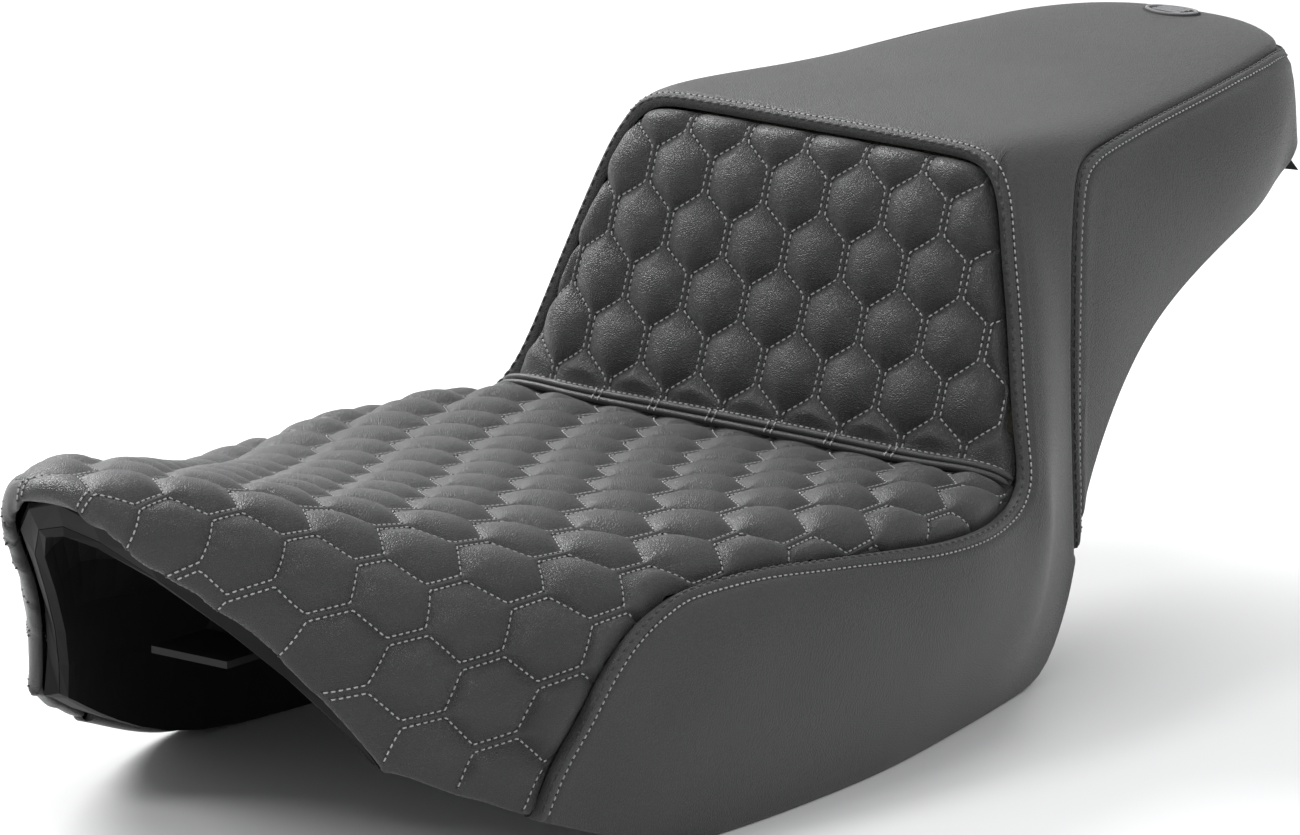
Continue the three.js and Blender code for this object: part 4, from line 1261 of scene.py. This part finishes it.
def thread_material(name, dark, light, roughness):
    """Twisted bonded thread: fine diagonal strands, each a little lighter than the next."""
    material, tree, shader = new_material(name)
    place = place_in(tree)
    strand = linked(tree, "ShaderNodeTexWave", {
        "Vector": place, "Scale": 700.0, "Distortion": 1.5}, bands_direction="DIAGONAL")
    fuzz = linked(tree, "ShaderNodeTexNoise", {"Vector": place, "Scale": 380.0, "Detail": 3.0})
    share = linked(tree, "ShaderNodeMath", {0: strand.outputs["Fac"], 1: fuzz.outputs["Fac"]},
                   operation="MULTIPLY")
    tree.links.new(mixed_colour(tree, share.outputs[0], dark, light), shader.inputs["Base Color"])
    relief_of(tree, shader, strand.outputs["Fac"], 0.4, 0.2 * MM)
    shader.inputs["Roughness"].default_value = roughness
    shader.inputs["Sheen Weight"].default_value = 0.2
    return material


grey_thread.data.materials.append(thread_material(
    "grey_thread", (0.24, 0.24, 0.245, 1), (0.58, 0.58, 0.59, 1), 0.55))
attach(grey_thread, "root")

# Black stitches close the seams, and a black bead between every two grey ones is painted shade in a
# needle hole.
SEAM_PITCH = 4.6 * MM
SEAM_STITCH = 3.5 * MM
SEAM_THREAD_RADIUS = 0.6 * MM
HOLE_LENGTH = 1.0 * MM
HOLE_RADIUS = 0.55 * MM
HOLE_RISE = 0.06 * MM
black_rows = together([
    sewn_line(tree, *beside_line(line, shift), SEAM_PITCH, SEAM_STITCH)
    for tree, line, shift in (
        (cover_tree, quilt_seam_line, 1.7 * MM), (band_tree, band_seam_line, 1.4 * MM))])
black_thread = new_piece("black_thread", *stitches(*black_rows, SEAM_STITCH, SEAM_THREAD_RADIUS))
hole_shade_centres = grey_centres + grey_ahead * (STITCH_PITCH / 2) + grey_facing * HOLE_RISE
# Each bead is a dark thing laid where the needle hole holds only shade: painted shade.
hole_shade_beads = new_piece("needle_holes", *stitches(
    hole_shade_centres, grey_ahead, grey_facing, HOLE_LENGTH, HOLE_RADIUS))
# This black material is the seam thread's own colour and the painted shade of the holes.
black_thread_and_hole_shade = thread_material(
    "black_thread", (0.006, 0.006, 0.006, 1), (0.02, 0.02, 0.02, 1), 0.5)
for piece in (black_thread, hole_shade_beads):
    piece.data.materials.append(black_thread_and_hole_shade)
    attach(piece, "root")


# ---------------------------------------------------------------- sewn badge
# A small oval patch near the tail, embroidered in grey: a raised satin-stitched ring
# round three short bars on a black twill ground.

patch_low, patch_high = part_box("badge_patch")
patch_middle = np.array((Vector(patch_low) + Vector(patch_high)) / 2)
patch_half = np.array((Vector(patch_high) - Vector(patch_low)) / 2)


OVER_COVER = 0.30
CAST_LENGTH = 0.2


def on_patch(x, y, lift):
    """A place on the cover at shares of the badge's half sizes, with its normal."""
    start = Vector((patch_middle[0] + patch_half[0] * x, patch_middle[1] + patch_half[1] * y,
                    OVER_COVER))
    hit, facing, _, _ = cover_tree.ray_cast(start, Vector((0, 0, -1)), CAST_LENGTH)
    return np.array(hit) + np.array(facing) * lift, np.array(facing)


PATCH_LIFT = 0.9 * MM
# share of the badge's size and lift of each ring of its ground
PATCH_RINGS = [(0.35, PATCH_LIFT), (0.7, PATCH_LIFT), (0.88, 0.85 * MM), (0.97, 0.6 * MM),
               (1.0, -0.3 * MM)]
PATCH_SIDES = 56
patch_points = []
for ring, lift in PATCH_RINGS:
    for turn in np.linspace(0, 2 * math.pi, PATCH_SIDES, endpoint=False):
        patch_points.append(on_patch(ring * math.cos(turn), ring * math.sin(turn), lift)[0])
patch_points.append(on_patch(0, 0, PATCH_LIFT)[0])
patch_faces = []
for j in range(PATCH_SIDES):
    k = (j + 1) % PATCH_SIDES
    patch_faces.append((len(patch_points) - 1, j, k))
    for low in range(0, (len(PATCH_RINGS) - 1) * PATCH_SIDES, PATCH_SIDES):
        high = low + PATCH_SIDES
        patch_faces.append((low + j, high + j, high + k, low + k))
badge_ground = new_piece("badge_ground", patch_points, patch_faces)
twill, twill_tree, twill_shader = new_material("badge_twill")
twill_rib = linked(twill_tree, "ShaderNodeTexWave", {
    "Vector": place_in(twill_tree), "Scale": 420.0, "Distortion": 0.6}, bands_direction="DIAGONAL")
twill_tree.links.new(mixed_colour(
    twill_tree, twill_rib.outputs["Fac"], (0.008, 0.008, 0.008, 1), (0.02, 0.02, 0.02, 1)),
    twill_shader.inputs["Base Color"])
relief_of(twill_tree, twill_shader, twill_rib.outputs["Fac"], 0.5, 0.2 * MM)
twill_shader.inputs["Roughness"].default_value = 0.8
badge_ground.data.materials.append(twill)
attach(badge_ground, "root")
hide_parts("badge_patch")

SATIN_LIFT = 0.95 * MM
SATIN_RADIUS = 0.26 * MM
RING_SHARE = 0.84
RING_STITCH = 2.0 * MM
BAR_STITCH = 2.6 * MM
ring_satin, bar_satin = [], []
for turn in np.linspace(0, 2 * math.pi, 150, endpoint=False):
    way = np.array([math.cos(turn), math.sin(turn), 0])
    spot, facing = on_patch(*(way[:2] * RING_SHARE), SATIN_LIFT)
    ring_satin.append((spot, way, facing))
for bar in (-0.38, 0, 0.38):
    for step in np.linspace(-0.5, 0.5, 34):
        spot, facing = on_patch(step, bar, SATIN_LIFT)
        bar_satin.append((spot, np.array([0, 1, 0]), facing))
badge_stitching = new_piece("badge_stitching", *joined([
    stitches(*[np.array(part, float) for part in zip(*satin)], length, SATIN_RADIUS)
    for satin, length in ((ring_satin, RING_STITCH), (bar_satin, BAR_STITCH))]))
badge_stitching.data.materials.append(thread_material(
    "satin_thread", (0.16, 0.16, 0.165, 1), (0.34, 0.34, 0.35, 1), 0.45))
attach(badge_stitching, "root")


# ---------------------------------------------------------------- foam cushions
# Two moulded blocks of grey polyurethane foam fill the saddle under the covers: a firm
# one for the driver and one for the passenger. They are glued down on the base.


def softened(node, name, voxel, shrink, smoothing):
    """A rounded copy of a CAD node's shape, a little smaller than the space it has."""
    piece = bpy.data.objects.new(name, bpy.data.objects[node].data.copy())
    bpy.context.scene.collection.objects.link(piece)
    piece.data.materials.clear()
    remesh = piece.modifiers.new("even", "REMESH")
    remesh.mode = "VOXEL"
    remesh.voxel_size = voxel
    smooth = piece.modifiers.new("smooth", "SMOOTH")
    smooth.factor = 0.5
    smooth.iterations = smoothing
    inset = piece.modifiers.new("inset", "DISPLACE")
    inset.strength = -shrink
    inset.mid_level = 0
    graph = bpy.context.evaluated_depsgraph_get()
    mesh = bpy.data.meshes.new_from_object(piece.evaluated_get(graph))
    piece.modifiers.clear()
    piece.data = mesh
    mesh.polygons.foreach_set("use_smooth", [True] * len(mesh.polygons))
    return piece


foam_material, foam_tree, foam_shader = new_material("open_cell_foam")
foam_place = place_in(foam_tree)
foam_cells = linked(foam_tree, "ShaderNodeTexVoronoi", {
    "Vector": foam_place, "Scale": 900.0, "Randomness": 1.0})
foam_cloud = linked(foam_tree, "ShaderNodeTexNoise", {
    "Vector": foam_place, "Scale": 25.0, "Detail": 4.0})
foam_share = linked(foam_tree, "ShaderNodeMath", {
    0: foam_cells.outputs["Distance"], 1: foam_cloud.outputs["Fac"]}, operation="MULTIPLY")
foam_tree.links.new(mixed_colour(
    foam_tree, foam_share.outputs[0], (0.16, 0.15, 0.12, 1), (0.42, 0.40, 0.33, 1)),
    foam_shader.inputs["Base Color"])
relief_of(foam_tree, foam_shader, foam_cells.outputs["Distance"], 0.7, 0.6 * MM)
foam_shader.inputs["Roughness"].default_value = 0.95
FOAM_VOXEL = 4.5 * MM
FOAM_SHRINK = 1.2 * MM
for node in ("driver_foam", "passenger_foam"):
    foam = softened(node, node + "_block", FOAM_VOXEL, FOAM_SHRINK, 4)
    foam.data.materials.append(foam_material)
    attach(foam, "root")
    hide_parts(node)


# ---------------------------------------------------------------- listing tongue
# A strip of woven cloth sewn into the fold. It passes down between the two foam blocks
# and pulls the fold tight against the base.

TONGUE_VOXEL = 1.2 * MM
TONGUE_SHRINK = 0.1 * MM
tongue = softened("listing_tongue", "listing_cloth_strip", TONGUE_VOXEL, TONGUE_SHRINK, 2)
weave, weave_tree, weave_shader = new_material("listing_weave")
weave_place = place_in(weave_tree)
warp, weft = [linked(weave_tree, "ShaderNodeTexWave", {
    "Vector": weave_place, "Scale": 320.0, "Distortion": 0.4}, bands_direction=direction)
    for direction in ("X", "Z")]
weave_height = linked(weave_tree, "ShaderNodeMath", {
    0: warp.outputs["Fac"], 1: weft.outputs["Fac"]}, operation="MULTIPLY")
weave_tree.links.new(mixed_colour(
    weave_tree, weave_height.outputs[0], (0.03, 0.03, 0.03, 1), (0.10, 0.10, 0.10, 1)),
    weave_shader.inputs["Base Color"])
relief_of(weave_tree, weave_shader, weave_height.outputs[0], 0.6, 0.3 * MM)
weave_shader.inputs["Roughness"].default_value = 0.9
tongue.data.materials.append(weave)
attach(tongue, "root")
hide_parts("listing_tongue")


# ---------------------------------------------------------------- base pan and edging
# The moulded base is black glass-filled plastic with a fine spark-eroded texture. A
# black rubber strip runs once round its rim, where the turned-under covers end.


def surface_of(name, dark, light, roughness, cell, bump, metallic=0.0, scratches=0.0, gloss=0.5):
    """A finish with mottled colour and fine relief, for the hard pieces."""
    material, tree, shader = new_material(name)
    place = place_in(tree)
    fine = linked(tree, "ShaderNodeTexNoise", {
        "Vector": place, "Scale": 1000.0 / cell, "Detail": 3.0})
    broad = linked(tree, "ShaderNodeTexNoise", {"Vector": place, "Scale": 30.0, "Detail": 5.0})
    worn_and_shaded = linked(tree, "ShaderNodeGroup", node_tree=RUB_AND_CREASE_SHADE)
    worn_and_shaded.inputs["Amount"].default_value = 0.6
    colour = mixed_colour(tree, broad.outputs["Fac"], dark, light)
    colour = mixed_colour(tree, worn_and_shaded.outputs["Worn"], colour, times(light, 1.8))
    tree.links.new(colour, shader.inputs["Base Color"])
    streak = linked(tree, "ShaderNodeMapping", {"Vector": place, "Scale": (40.0, 900.0, 40.0)})
    scratch = linked(tree, "ShaderNodeTexNoise", {"Vector": streak.outputs["Vector"], "Scale": 1.0})
    height = linked(tree, "ShaderNodeMath", {
        0: scratch.outputs["Fac"], 1: scratches, 2: fine.outputs["Fac"]}, operation="MULTIPLY_ADD")
    dull = linked(tree, "ShaderNodeMapRange", {
        "Value": broad.outputs["Fac"], "To Min": roughness - 0.08, "To Max": roughness + 0.08})
    tree.links.new(dull.outputs["Result"], shader.inputs["Roughness"])
    relief_of(tree, shader, height.outputs[0], bump, 0.2 * MM)
    shader.inputs["Metallic"].default_value = metallic
    shader.inputs["Specular IOR Level"].default_value = gloss
    return material


def finish(material, *nodes):
    for node in nodes:
        mesh = bpy.data.objects[node].data
        mesh.materials.clear()
        mesh.materials.append(material)


pan_plastic = surface_of(
    "pan_plastic", (0.005, 0.005, 0.005, 1), (0.009, 0.009, 0.009, 1), 0.72, 0.5, 0.35, gloss=0.12)
edge_rubber = surface_of(
    "edge_rubber", (0.005, 0.005, 0.005, 1), (0.010, 0.010, 0.010, 1), 0.6, 0.8, 0.3, gloss=0.15)
finish(pan_plastic, "base_pan")
finish(edge_rubber, "edging_strip")


# ---------------------------------------------------------------- brackets and hardware
# Two pressed steel brackets, coated black, hold the saddle to the frame. Their zinc-plated
# screws turn in brass inserts in the base, and six rubber bumpers rest on the frame.

coated_steel = surface_of(
    "bracket_steel", (0.010, 0.010, 0.011, 1), (0.020, 0.020, 0.021, 1), 0.5, 1.2, 0.2, gloss=0.15)
zinc = surface_of(
    "screw_steel", (0.42, 0.43, 0.45, 1), (0.60, 0.61, 0.63, 1), 0.32, 0.6, 0.2, 1.0, 0.5)
brass = surface_of(
    "insert_brass", (0.50, 0.36, 0.14, 1), (0.68, 0.50, 0.22, 1), 0.35, 0.6, 0.2, 1.0, 0.5)
bumper_rubber = surface_of(
    "bumper_rubber", (0.010, 0.010, 0.010, 1), (0.020, 0.020, 0.020, 1), 0.8, 1.0, 0.4)
finish(coated_steel, "front_bracket", "rear_bracket")
for side_name in ("left", "right"):
    for place_name in ("front", "rear"):
        finish(zinc, f"{place_name}_screw_{side_name}")
        finish(brass, f"{place_name}_insert_{side_name}")
    for place_name in ("front", "middle", "rear"):
        finish(bumper_rubber, f"{place_name}_bumper_{side_name}")
